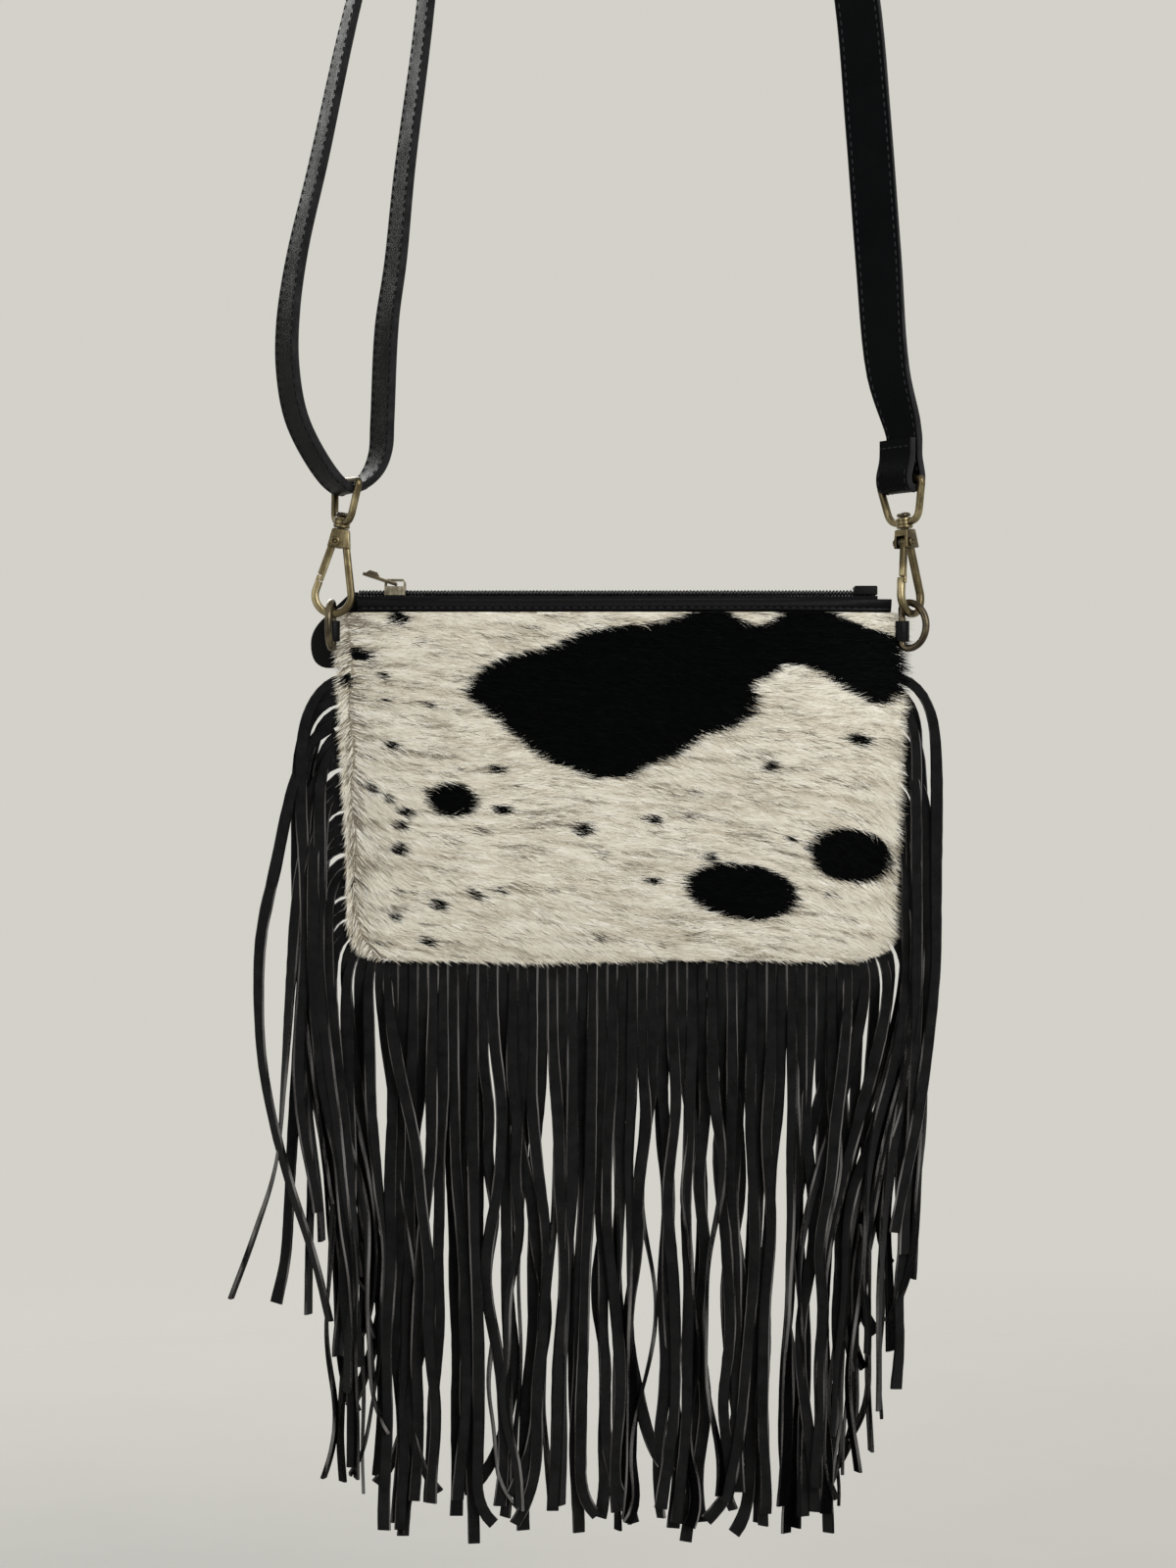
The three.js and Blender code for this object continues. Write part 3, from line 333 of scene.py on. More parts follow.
def studio():
    camera = bpy.data.cameras.new("camera")
    camera.sensor_fit = "VERTICAL"
    camera.sensor_height = 36
    distance = 1.2
    camera.lens = 36 * distance / (1600 * PIXEL * MM)
    seen = bpy.data.objects.new("camera", camera)
    seen.location = (-30 * PIXEL * MM, -distance, (RIM - 198 * PIXEL) * MM)
    seen.rotation_euler = (math.pi / 2, 0, 0)
    bpy.context.scene.collection.objects.link(seen)
    bpy.context.scene.camera = seen

    lamps = [
        ("window", (1.0, -1.5, 0.25), 1.3, 27),
        ("fill", (-1.5, -1.2, -0.4), 1.4, 7),
        ("back", (-0.7, 2.1, 0.75), 1.5, 36),
    ]
    for name, place, size, power in lamps:
        lamp = bpy.data.lights.new(name, "AREA")
        lamp.size = size
        lamp.energy = power
        light = bpy.data.objects.new(name, lamp)
        light.location = place
        aim = np.array([0, 0, -0.55]) - np.array(place)
        flat = math.hypot(aim[0], aim[1])
        light.rotation_euler = (math.atan2(flat, -aim[2]), 0, math.atan2(aim[1], aim[0]) - math.pi / 2)
        bpy.context.scene.collection.objects.link(light)

    world = bpy.data.worlds.new("studio")
    bpy.context.scene.world = world
    world.use_nodes = True
    nodes, links = world.node_tree.nodes, world.node_tree.links
    glow = nodes["Background"]
    glow.inputs["Color"].default_value = (0.95, 0.97, 1.0, 1)
    glow.inputs["Strength"].default_value = 0.42
    wall = nodes.new("ShaderNodeBackground")
    wall.inputs["Color"].default_value = linear(211, 209, 201)
    ray = nodes.new("ShaderNodeLightPath")
    most = nodes.new("ShaderNodeMath")
    most.operation = "MAXIMUM"
    links.new(ray.outputs["Is Camera Ray"], most.inputs[0])
    links.new(ray.outputs["Is Glossy Ray"], most.inputs[1])
    join = nodes.new("ShaderNodeMixShader")
    links.new(most.outputs[0], join.inputs[0])
    links.new(glow.outputs[0], join.inputs[1])
    links.new(wall.outputs[0], join.inputs[2])
    links.new(join.outputs[0], nodes["World Output"].inputs["Surface"])

    bpy.ops.object.select_all(action="DESELECT")
    bpy.ops.mesh.primitive_circle_add(vertices=96, radius=2.4, fill_type="NGON", location=(0, 0, FLOOR))
    floor = bpy.context.object
    bpy.ops.object.transform_apply(location=True)
    floor.name = "floor"
    f = Finish("pale floor", roughness=0.8)
    f.set("Base Color", f.mix(f.noise(f.place(), 9, 4.0), linear(204, 201, 193), linear(197, 194, 186)))
    spread = f.add("ShaderNodeVectorMath", {"operation": "LENGTH"}, out=1, i0=f.place((1, 1, 0)))
    fade = f.add("ShaderNodeMixShader", i0=f.span(spread, 0.5, 1.5))
    clear = f.add("ShaderNodeBsdfTransparent")
    f.links.new(f.shader.outputs[0], fade.socket.node.inputs[1])
    f.links.new(clear.socket, fade.socket.node.inputs[2])
    f.links.new(fade.socket, f.nodes["Material Output"].inputs["Surface"])
    floor.data.materials.append(f.material)
    bpy.context.scene.view_settings.view_transform = "Standard"


studio()


# The pouch's panels

PANEL_TOP, PANEL_BOTTOM = -9.5, -152.0
HALF_WIDTH, TAPER, CORNER = 113.5, 3.5, 17.0
SEAM, RIM_ROOM, FULLNESS = 0.9, 6.5, 6
HIDE_BULGE, HIDE_THICK = 6.0, 1.8
BACK_BULGE, BACK_THICK = 1.5, 1.4


def half_width(z):
    straight = HALF_WIDTH - TAPER * (PANEL_TOP - z) / (PANEL_TOP - PANEL_BOTTOM)
    rise = np.maximum(CORNER - (z - PANEL_BOTTOM), 0)
    return straight - CORNER + np.sqrt(np.maximum(CORNER**2 - rise**2, 0))


def room(x, z, bulge):
    """Inside half depth of the pouch at a place on a panel."""
    z = np.clip(z, PANEL_BOTTOM, PANEL_TOP)
    u = np.clip(np.abs(x) / half_width(z), 0, 1)
    down = (PANEL_TOP - z) / (PANEL_TOP - PANEL_BOTTOM)
    return (RIM_ROOM * (1 - down**FULLNESS) + bulge * np.sin(np.pi * down)) * (1 - u**FULLNESS)


def panel_grid(columns, rows):
    """Places on a panel, closer together towards its seams: x, z, and the share of the half width."""
    turn = np.linspace(-1, 1, columns)
    u = np.sign(turn) * (1 - (1 - np.abs(turn)) ** 1.5)
    z = PANEL_TOP + (PANEL_BOTTOM - PANEL_TOP) * (1 - (1 - np.linspace(0, 1, rows)) ** 1.3)
    return u[None, :] * half_width(z)[:, None], np.repeat(z[:, None], columns, 1), u


# The hide's markings, as shapes in the photograph's pixels

BIG_PATCH = [
    (470, 705), (490, 680), (520, 668), (560, 660), (590, 645), (620, 640), (660, 637), (690, 630), (715, 618),
    (735, 618), (748, 632), (772, 640), (790, 628), (800, 616), (842, 616), (858, 632), (885, 642), (925, 652),
    (922, 700), (908, 715), (895, 720), (873, 714), (849, 699), (828, 688), (814, 680), (795, 680), (787, 686),
    (765, 699), (771, 718), (766, 728), (750, 739), (715, 750), (688, 769), (656, 782), (640, 793), (600, 793),
    (575, 783), (550, 775), (525, 755), (505, 735), (475, 712),
]
SPOTS = [
    (460, 815, 54, 34), (752, 908, 117, 57), (864, 871, 90, 55), (404, 632, 24, 14), (367, 668, 24, 12),
    (358, 695, 18, 12), (389, 690, 14, 6), (437, 719, 14, 6), (398, 759, 16, 7), (505, 785, 22, 9),
    (378, 802, 14, 9), (395, 813, 14, 9), (413, 827, 18, 10), (408, 840, 16, 9), (406, 864, 18, 12),
    (511, 826, 20, 9), (592, 845, 20, 14), (663, 835, 20, 9), (782, 781, 16, 11), (871, 755, 28, 12),
    (445, 921, 20, 12), (484, 910, 16, 10), (509, 907, 12, 6), (402, 933, 14, 7), (434, 959, 18, 9),
    (662, 897, 16, 8), (609, 955, 10, 6), (722, 874, 16, 9), (802, 854, 14, 6),
]
FAINT = [
    (391, 716), (373, 772), (465, 785), (462, 858), (367, 904), (391, 961), (405, 908), (491, 846), (841, 911),
    (707, 807), (699, 832), (538, 640), (430, 655), (610, 870), (560, 905),
]


def marking(x, z):
    """How black the hide's hair is at places in millimetres."""
    px, py = x / PIXEL + 630, 602 - z / PIXEL
    inside = np.zeros(px.shape, bool)
    corners = np.array(BIG_PATCH, float)
    for (ax, ay), (bx, by) in zip(corners, np.roll(corners, -1, axis=0)):
        crosses = (ay > py) != (by > py)
        slope = (bx - ax) / (by - ay) if by != ay else 0.0
        inside ^= crosses & (px < ax + slope * (py - ay))
    dark = inside.astype(float)
    lean = math.radians(8)
    for cx, cy, wide, high in SPOTS:
        across = (px - cx) * math.cos(lean) + (py - cy) * math.sin(lean)
        up = (py - cy) * math.cos(lean) - (px - cx) * math.sin(lean)
        dark = np.maximum(dark, ((across / wide) ** 2 + (up / high) ** 2 < 0.25).astype(float))
    for cx, cy in FAINT:
        dark = np.maximum(dark, 0.45 * (((px - cx) / 16) ** 2 + ((py - cy) / 6) ** 2 < 0.25))
    return dark


def front_hide():
    """The hide itself, a soft pillow under the hair."""
    columns, rows = 150, 96
    x, z, _ = panel_grid(columns, rows)
    inner = SEAM + 0.1 + room(x, z, HIDE_BULGE)
    outer = inner + HIDE_THICK
    points = np.concatenate([np.stack([x, -outer, z + RIM], -1), np.stack([x, -inner, z + RIM], -1)])
    faces = shell_faces(rows, columns)
    hide = Finish("hide under the hair with painted gap shade", roughness=0.8)
    streak = hide.noise(hide.place((0.12, 1, 1)), 900, 4.0, 0.65)
    dark = hide.add("ShaderNodeAttribute", {"attribute_name": "marking"}, out=2)
    # The cream of the hide under the hair is darker than the hair itself: painted shade for the gaps between
    # hairs.
    cream = hide.mix(hide.span(streak, 0.3, 0.7), linear(104, 95, 80), linear(182, 171, 150))
    ink = hide.mix(hide.span(streak, 0.35, 0.75), linear(4, 5, 5), linear(14, 15, 16))
    hide.set("Base Color", hide.mix(hide.span(dark + streak * 0.3 - 0.15, 0.4, 0.6), cream, ink))
    hide.bump(streak, 0.8, 0.0008)
    piece = new_mesh("front_hide", points.reshape(-1, 3), faces, [hide.material])
    spots = piece.data.attributes.new("marking", "FLOAT", "POINT")
    spots.data.foreach_set("value", np.tile(marking(x, z).ravel(), 2))
    settle(piece, "pouch", "front_panel", slot="hide")
    return piece


def shell_faces(rows, columns):
    """Quads of two facing grids, joined round their rims. The first grid faces out."""
    grid = np.arange(rows * columns).reshape(rows, columns)
    back = grid + rows * columns

    def quads(g):
        return np.stack([g[:-1, :-1], g[:-1, 1:], g[1:, 1:], g[1:, :-1]], -1).reshape(-1, 4)

    rim = np.concatenate([grid[0, :-1], grid[:-1, -1], grid[-1, :0:-1], grid[:0:-1, 0]])
    after = np.roll(rim, -1)
    wall = np.stack([rim, rim + rows * columns, after + rows * columns, after], -1)
    return np.concatenate([quads(grid)[:, ::-1], quads(back), wall])


def hair_way(x, z):
    """Direction that the hair lies in, as an angle from +X in the panel's plane."""
    down = (PANEL_TOP - z) / (PANEL_TOP - PANEL_BOTTOM)
    swirl = 0.13 * np.sin(x / 31 + z / 23) + 0.1 * np.sin(x / 17 - z / 29 + 1.3)
    way = np.radians(-3 - 13 * down) + swirl
    way = way - smooth_step((x - 85) / 28) * 0.3 - smooth_step((-88 - x) / 26) * 0.5 * (0.25 + down)
    return way


def hair():
    """Short hairs, each a thin tapered blade lying along the hide."""
    count = 150000
    x = rng.uniform(-HALF_WIDTH, HALF_WIDTH, count)
    z = rng.uniform(PANEL_BOTTOM, PANEL_TOP, count)
    keep = np.abs(x) < half_width(z) - 0.15
    x, z = x[keep], z[keep]
    count = len(x)
    flare = x < -half_width(z) + 3.2 + 0.8 * np.sin(z / 6)
    way = np.where(flare, np.radians(-152) - hair_way(x, z), hair_way(x, z)) + rng.normal(0, 0.1, count)
    length = np.where(flare, rng.uniform(3.5, 6.5, count), rng.uniform(6.0, 11.0, count))
    length *= 1 - 0.45 * smooth_step((PANEL_BOTTOM + 7 - z) / 7)
    wide = rng.uniform(0.2, 0.36, count) * 1.0
    lift = np.where(rng.random(count) < 0.12, rng.uniform(0.6, 1.3, count), rng.uniform(0.12, 0.7, count))
    roll = rng.uniform(-0.7, 0.7, count)
    bend = rng.normal(-0.04, 0.12, count)
    side = np.stack([-np.sin(way), np.cos(way)], -1)
    spine = []
    for t in (0.0, 0.5, 1.0):
        turned = way + bend * t
        px = x + length * t * np.cos(turned)
        pz = z + length * t * np.sin(turned)
        over = np.maximum(np.abs(px) - half_width(np.clip(pz, PANEL_BOTTOM, PANEL_TOP)), 0)
        under = np.maximum(PANEL_BOTTOM - pz, 0)
        surface = SEAM + HIDE_THICK + 0.15 + room(px, pz, HIDE_BULGE)
        py = -(surface + 0.05 + lift * t**1.1) + 0.3 * (over + under)
        pz = np.where(pz > PANEL_TOP - 0.3, PANEL_TOP - 0.3 - 0.2 * (pz - PANEL_TOP), pz)
        spine.append(np.stack([px, py, pz + RIM], -1))
    cross = np.stack([side[:, 0] * np.cos(roll), -np.sin(roll), side[:, 1] * np.cos(roll)], -1)
    cross *= wide[:, None] / 2
    corners = np.stack([
        spine[0] - cross, spine[0] + cross, spine[1] + cross * 0.85, spine[1] - cross * 0.85, spine[2],
    ], 1)
    middle = 0.45 * length
    black = marking(x + middle * np.cos(way), z + middle * np.sin(way) + rng.normal(0, 0.3, count))
    inky = rng.random(count) < black * 0.998 + 0.002
    cream_shades = [(250, 246, 233), (243, 237, 221), (231, 223, 204), (200, 190, 168), (130, 120, 103)]
    black_shades = [(2, 3, 3), (4, 5, 5), (9, 10, 11)]
    shades = [plain_hair(f"cream hair {i + 1}", linear(*c), 0.12) for i, c in enumerate(cream_shades)]
    shades += [plain_hair(f"black hair {i + 1}", linear(*c), 0.03) for i, c in enumerate(black_shades)]
    # Tufts get lighter or darker creams at random: partly the hair's own streaks, partly painted shade for the
    # gaps between tufts.
    tuft_of = (np.floor(x / 9 + 0.4 * z) * 37 + np.floor(z / 0.7 + x / 7)).astype(int) % 5000
    tuft = rng.normal(0, 1, 5000)[tuft_of]
    streak = 0.95 * tuft + rng.normal(0, 0.5, count)
    pale = np.digitize(streak, [-1.0, 0.0, 0.8, 1.5])
    # Half the hairs along the parting take the darkest cream: painted shade in the parting.
    pale = np.where((np.abs(x + half_width(z) - 3.2) < 1.2) & (rng.random(count) < 0.5), 4, pale)
    deep = 5 + rng.choice(3, count, p=[0.55, 0.33, 0.12])
    slot = np.where(inky, deep, pale)
    pieces = []
    for part in range(4):
        mine = np.arange(part, count, 4)
        points = corners[mine].reshape(-1, 3)
        base = np.arange(len(mine))[:, None] * 5
        faces = np.concatenate([base + [0, 1, 2], base + [0, 2, 3], base + [3, 2, 4]])
        piece = new_mesh(f"hide_hair_{part + 1}", points, faces, shades, np.tile(slot[mine], 3), smooth=False)
        settle(piece, "pouch", slot="hide")
        pieces.append(piece)
    return pieces


# Fringe


def ribbon(path, across, width, thick, round_edge=0.25):
    """Rings of eight points along a path: a flat strip with eased edges."""
    along = directions(path)
    across = across - (across * along).sum(1, keepdims=True) * along
    across /= np.linalg.norm(across, axis=1, keepdims=True)
    face = np.cross(along, across)
    w = np.asarray(width)[..., None] / 2 if np.ndim(width) else width / 2
    t = np.asarray(thick)[..., None] / 2 if np.ndim(thick) else thick / 2
    ease = round_edge * np.minimum(w, t) * 2
    ring = [
        (-(w - ease), -t), (w - ease, -t), (w, -(t - ease)), (w, t - ease),
        (w - ease, t), (-(w - ease), t), (-w, t - ease), (-w, -(t - ease)),
    ]
    return np.stack([path + across * a + face * b for a, b in ring], 1)


def strip_mesh(rings):
    """Points, quads and slots (0 front face, 1 back face, 2 edges) of one strip."""
    count = len(rings)
    base = np.arange(count - 1)[:, None] * 8 + np.arange(8)[None, :]
    after = np.arange(count - 1)[:, None] * 8 + (np.arange(8)[None, :] + 1) % 8
    faces = np.stack([base, base + 8, after + 8, after], -1).reshape(-1, 4)
    slots = np.tile([0, 2, 2, 2, 1, 2, 2, 2], count - 1)
    last = (count - 1) * 8
    caps = [[0, 1, 4, 5], [1, 2, 3, 4], [5, 6, 7, 0]]
    ends = [list(c) for c in caps] + [[last + i for i in c[::-1]] for c in caps]
    return rings.reshape(-1, 3), np.concatenate([faces, ends]), np.concatenate([slots, [2] * 6])


def strands_mesh(name, strands):
    """All strands of one slit strip as one mesh."""
    points, faces, slots = [], [], []
    total = 0
    for rings in strands:
        p, f, s = strip_mesh(rings)
        points.append(p)
        faces.append(f + total)
        slots.append(s)
        total += len(p)
    materials = [fringe_grain, fringe_flesh, strand_edge]
    piece = new_mesh(name, np.concatenate(points), np.concatenate(faces), materials, np.concatenate(slots))
    smooth_within(piece, 32)
    return piece


STRAND_ROOT, STRAND_WIDE, STRAND_THICK, STRAND_MEAN = 4.05, 4.8, 1.4, 4.7


def strand_width(count):
    """A knife-cut strip: a little uneven along its length, and a little wider at the tip."""
    s = np.linspace(0, 1, count)
    nibble = rng.normal(0, 0.1, count)
    wide = STRAND_ROOT + (STRAND_WIDE - STRAND_ROOT) * smooth_step(s / 0.2)
    uneven = 0.3 * np.sin(s * 13 + rng.uniform(0, 6.28)) + nibble
    return wide + uneven * smooth_step(s / 0.1) + 0.4 * smooth_step((s - 0.93) / 0.07)


def bends(s, length, chance):
    """How far a strand leans from straight down along its length, in radians: slow waves and a swept tip."""
    lean = np.zeros_like(s)
    for period, size in ((55, 0.05), (105, 0.075), (200, 0.045)):
        period = period * rng.uniform(0.8, 1.25)
        lean += rng.normal(0, size) * np.sin(2 * np.pi * s / period + rng.uniform(0, 6.28))
    if rng.random() < chance:
        reach = rng.uniform(18, 60)
        tip = np.clip((s - length + reach) / reach, 0, 1)
        lean += rng.choice([-1, 1]) * rng.uniform(0.15, 0.85) * tip**1.6
    return lean


def bottom_fringe():
    strands = []
    area = 0.0
    count, behind, pitch = 46, 14, 4.1
    layers = np.array([-2.6, 0.4, -1.0, 1.9])
    group = 0.0
    for i in range(count + behind):
        second = i >= count
        x0 = (i - (count - 1) / 2) * pitch
        if second:
            x0 = ((i - count + 0.5) / behind - 0.5) * (count - 2) * pitch + rng.uniform(-4, 4)
        length = rng.uniform(220, 240) + 4 * np.sin(i * 0.7)
        s = np.linspace(0, length, 240)
        ease = smooth_step(s / 60)
        if i % 3 == 0:
            group = rng.normal(0, 0.012)
        lean = ease * (group + rng.normal(0, 0.016)) + smooth_step((s - 15) / 60) * bends(s, length, 0.4)
        step = s[1] - s[0]
        x = x0 + np.cumsum(np.sin(lean)) * step
        z = PANEL_BOTTOM + 1.5 - np.cumsum(np.cos(lean)) * step
        depth = layers[i % 4] + rng.normal(0, 0.4) + (3.4 if second else 0.0)
        sway = 1.4 * np.sin(s / rng.uniform(30, 60) + rng.uniform(0, 6.28))
        y = (1 - ease) * (1.5 if second else 0.0) + ease * depth + ease * sway
        path = resample(np.stack([x, y, z], -1), 60)
        flat_on = rng.random() < 0.72
        turn = rng.normal(0, 0.3) if flat_on else rng.choice([-1, 1]) * rng.uniform(0.8, 3.1)
        strands.append(strand_strip(path, turn, 0.3))
        area += STRAND_MEAN * length
    piece = strands_mesh("fringe_bottom_strands", strands)
    settle(piece, "pouch", "fringe_bottom", slot="fringe")
    area * 1e-6
    return piece


FRINGE_TOP = -36.0


def side_seam(share):
    """A place on the side seam, from below the ring round the corner, and its outward direction in degrees."""
    straight = abs(PANEL_BOTTOM + CORNER - FRINGE_TOP)
    along = share * (straight + CORNER * math.pi / 2 * 0.97)
    if along < straight:
        z = FRINGE_TOP - along
        return float(half_width(np.array(z))), z, 0.0
    angle = (along - straight) / CORNER
    x = HALF_WIDTH - TAPER - CORNER + CORNER * math.cos(angle)
    return x, PANEL_BOTTOM + CORNER * (1 - math.sin(angle)), math.degrees(angle)


def side_strand(side, share, reach, drop, lean, length, depth):
    """A strand that leaves the side seam outwards, bows over and hangs."""
    root_x, root_z, outward = side_seam(share)
    s = np.linspace(0, length, 240)
    droop = drop + (90 - drop) * outward / 90
    fall = np.radians(-90) + np.radians(90 - droop) * np.exp(-((s / reach) ** 1.3))
    step = s[1] - s[0]
    x = root_x - 1.2 + np.cumsum(np.cos(fall)) * step
    z = root_z + np.cumsum(np.sin(fall)) * step
    below = smooth_step((PANEL_BOTTOM + 8 - z) / 150)
    waves = smooth_step((s - 20) / 60) * (0.25 + 0.75 * below) * bends(s, length, 0.4)
    x = x + below * lean + np.cumsum(np.sin(waves)) * step
    z = z + np.cumsum(1 - np.cos(waves)) * step
    sway = 1.2 * np.sin(s / rng.uniform(30, 55) + share * 9)
    y = smooth_step((s - 6) / 24) * depth + smooth_step(s / 80) * sway
    return resample(np.stack([side * x, y, z], -1), 60)


LONERS = [
    ([(340, 742), (318, 758), (301, 800), (284, 880), (268, 960), (267, 1050), (276, 1120), (296, 1200),
      (322, 1280), (338, 1345)], -7.0, 0.9),
    ([(345, 800), (322, 830), (306, 900), (298, 1000), (291, 1100), (283, 1185), (262, 1255),
      (237, 1323)], -4.5, 1.8),
    ([(347, 850), (325, 878), (311, 950), (303, 1080), (296, 1190), (291, 1280), (281, 1331)], 3.5, 0.4),
]


def side_fringe(name, side, node):
    strands = []
    area = 0.0
    shares = list(np.linspace(0, 0.81, 24)) + [0.835, 0.865, 0.89, 0.915, 0.94, 0.965, 0.985, 1.0]
    for k, share in enumerate(shares):
        reach = (15 - 6 * share if side < 0 else 14 - 5 * share) * rng.uniform(0.7, 1.15)
        drop = rng.uniform(-6, 20)
        lean = -rng.uniform(2, 24 if side < 0 else 30)
        length = rng.uniform(212, 240)
        depth = [-5.4, 3.4, -3.4, 5.2, -1.4, 1.4][k % 6] + rng.normal(0, 0.4)
        path = side_strand(side, share, reach, drop, lean, length, depth)
        turn = rng.choice([-1, 1]) * rng.uniform(0.3, 2.4)
        strands.append(strand_strip(path, turn))
        area += STRAND_MEAN * length
    if side < 0:
        for pixels, depth, turn in LONERS:
            flat = from_pixels(pixels)
            path = through(np.stack([flat[:, 0], np.full(len(flat), depth), flat[:, 1]], -1), 60)
            path[:, 1] *= smooth_step(np.linspace(0, 6, len(path)))
            strands.append(strand_strip(path, turn))
            area += STRAND_MEAN * np.linalg.norm(np.diff(path, axis=0), axis=1).sum()
    piece = strands_mesh(name, strands)
    settle(piece, "pouch", node, slot="fringe")
    area * 1e-6
    return piece


def strand_strip(path, turn, ripple=0.0):
    """A strand lies flat in the seam's plane at its root, and twists as it hangs."""
    along = directions(path)
    edge = np.cross(along, np.array([0.0, 1.0, 0.0]))
    s = np.linspace(0, 1, len(path))[:, None]
    angle = turn * smooth_step((s - 0.05) / 0.9) + ripple * np.sin(s * 11 + turn * 7) * smooth_step(s * 4)
    across = edge * np.cos(angle) + np.cross(along, edge) * np.sin(angle)
    return ribbon(path + [0, 0, RIM], across, strand_width(len(path)), STRAND_THICK, 0.3)


hide_piece = front_hide()
hair_pieces = hair()
bottom_fringe()
side_fringe("fringe_left_strands", -1, "fringe_left")
side_fringe("fringe_right_strands", 1, "fringe_right")


# Strap


STRAP_ROUTE = [
    (-63.6, 0.4, -131.3, 76, 1.6), (-62.4, 0.6, -129.4, 76, 1.6), (-62.9, 0.5, -127.4, 76, 1.6),
    (-64.6, 0, -126.4, 76, 1.6), (-66.5, -0.5, -126.9, 76, 1.6), (-67.6, -0.6, -128.6, 76, 1.6),
    (-70.5, -1.1, -135.8, 76, 1.6), (-74.6, -1.9, -143.8, 76, 1.6), (-80.6, -2.6, -165.2, 76, 3),
    (-107.2, -9.5, -262.9, 70, 3), (-122.2, -13, -332.9, 66, 3), (-130.2, -16.5, -369.4, 64, 3),
    (-133.7, -18.7, -395.9, 62, 3), (-133.9, -18.8, -415.9, 62, 3), (-130.6, -17.1, -435.9, 62, 3),
    (-123.1, -13, -451.9, 62, 3), (-115.5, -9, -462.1, 62, 3), (-110.7, -6.5, -464.7, 62, 3),
    (-105.4, -3.7, -461.9, 62, 3), (-100.6, -1.1, -456.4, 62, 3), (-97.6, 0.5, -447.9, 62, 3),
    (-96.9, 0.8, -435.9, 62, 3), (-95.1, 1.5, -395.9, 62, 3), (-91.5, 2, -369.4, 64, 3),
    (-87.9, 2, -332.9, 66, 3), (-79, 1.5, -262.9, 70, 3), (-70.8, -0.2, -163.5, 76, 3),
    (-70.1, -0.7, -143.4, 76, 3), (-69.6, -0.7, -140.3, 76, 3), (-64.9, 0.3, -135.6, 76, 3),
    (-60.5, 1.2, -131.3, 76, 3), (-60, 1.2, -128.1, 76, 3), (-63.1, 0.3, -122.7, 76, 3),
    (-66.3, -0.7, -116.9, 76, 3), (-65.9, -0.7, -113.7, 76, 3), (-57, 0, -94, 82, 3), (-44, 0, -52, 86, 3),
    (-27, 0, -17, 90, 3), (-13, 0, 1.5, 90, 3), (-6, 0, 1.5, 90, 3), (6, 0, 1.5, 90, 3), (13, 0, 1.5, 90, 3),
    (29, 0, -18, 88, 3), (48, 0, -54, 80, 3), (66, 0, -105, 68, 3), (83, 0, -175, 48, 3),
    (98.3, -1.9, -260.7, 26, 3), (103.2, -1.9, -314.7, 18, 3), (107.2, -1.9, -367.7, 18, 3),
    (111.2, -2.4, -415.7, 34, 3), (117.6, -2.8, -440.7, 52, 3), (117.9, -2.6, -450.7, 52, 3),
    (119.2, -1.6, -459.7, 52, 3), (118.3, -2.3, -463.5, 52, 3), (114.1, -5.5, -463.5, 52, 3),
    (113.2, -6.2, -459.7, 52, 3), (114.6, -5.2, -451.7, 52, 3), (114.8, -5, -443.7, 52, 3),
]


STRAP_WIDTH, STITCH_EDGE = 19.0, 7.6
SEWN_END, SEWN_TURN = np.array([114.75, -5.05, -447.0]), math.radians(52)


def strap_line(steps):
    """Points, turns and thicknesses along the strap's route, on a curve with knots spaced by root distance."""
    route = np.array(STRAP_ROUTE, float)
    p = np.vstack([2 * route[0] - route[1], route, 2 * route[-1] - route[-2]])
    line = []
    for a, b, c, d in zip(p[:-3], p[1:-2], p[2:-1], p[3:]):
        k0, k1, k2 = (max(np.linalg.norm((m - n)[:3]) ** 0.5, 1e-4) for m, n in ((a, b), (b, c), (c, d)))
        t1 = ((b - a) / k0 - (c - a) / (k0 + k1) + (c - b) / k1) * k1
        t2 = ((c - b) / k1 - (d - b) / (k1 + k2) + (d - c) / k2) * k1
        for t in np.arange(steps) / steps:
            h = 2 * t**3 - 3 * t**2
            spot = (h + 1) * b + (t**3 - 2 * t**2 + t) * t1 - h * c + (t**3 - t**2) * t2
            spot[3:] = b[3:] + (c[3:] - b[3:]) * t
            line.append(spot)
    line.append(route[-1])
    return np.array(line)


def stitches(name, centres, along, normal, long, body, thick=0.32):
    """A row of thread bits, each lying on a face."""
    along = along / np.linalg.norm(along, axis=1, keepdims=True)
    normal = normal - (normal * along).sum(1, keepdims=True) * along
    normal /= np.linalg.norm(normal, axis=1, keepdims=True)
    across = np.cross(along, normal)
    turn = np.linspace(0, 2 * np.pi, 6, endpoint=False)
    rings = []
    for u, fat in ((-0.5, 0.45), (-0.28, 1.0), (0.28, 1.0), (0.5, 0.45)):
        for t in turn:
            out = across * math.cos(t) + normal * (0.75 * math.sin(t))
            rings.append(centres + along * (u * long) + out * (thick * fat) - normal * (0.25 * (1 - fat)))
    points = np.stack(rings, 1)
    sides = [(6 * k + i, 6 * k + (i + 1) % 6) for k in range(3) for i in range(6)]
    unit = [[a, b, b + 6, a + 6] for a, b in sides]
    unit += [[3, 2, 1, 0], [5, 4, 3, 0], [18, 19, 20, 21], [18, 21, 22, 23]]
    faces = (np.arange(len(centres))[:, None, None] * 24 + np.array(unit)[None]).reshape(-1, 4)
    piece = new_mesh(name, points.reshape(-1, 3), faces, [thread])
    return settle(piece, body, slot="leather")


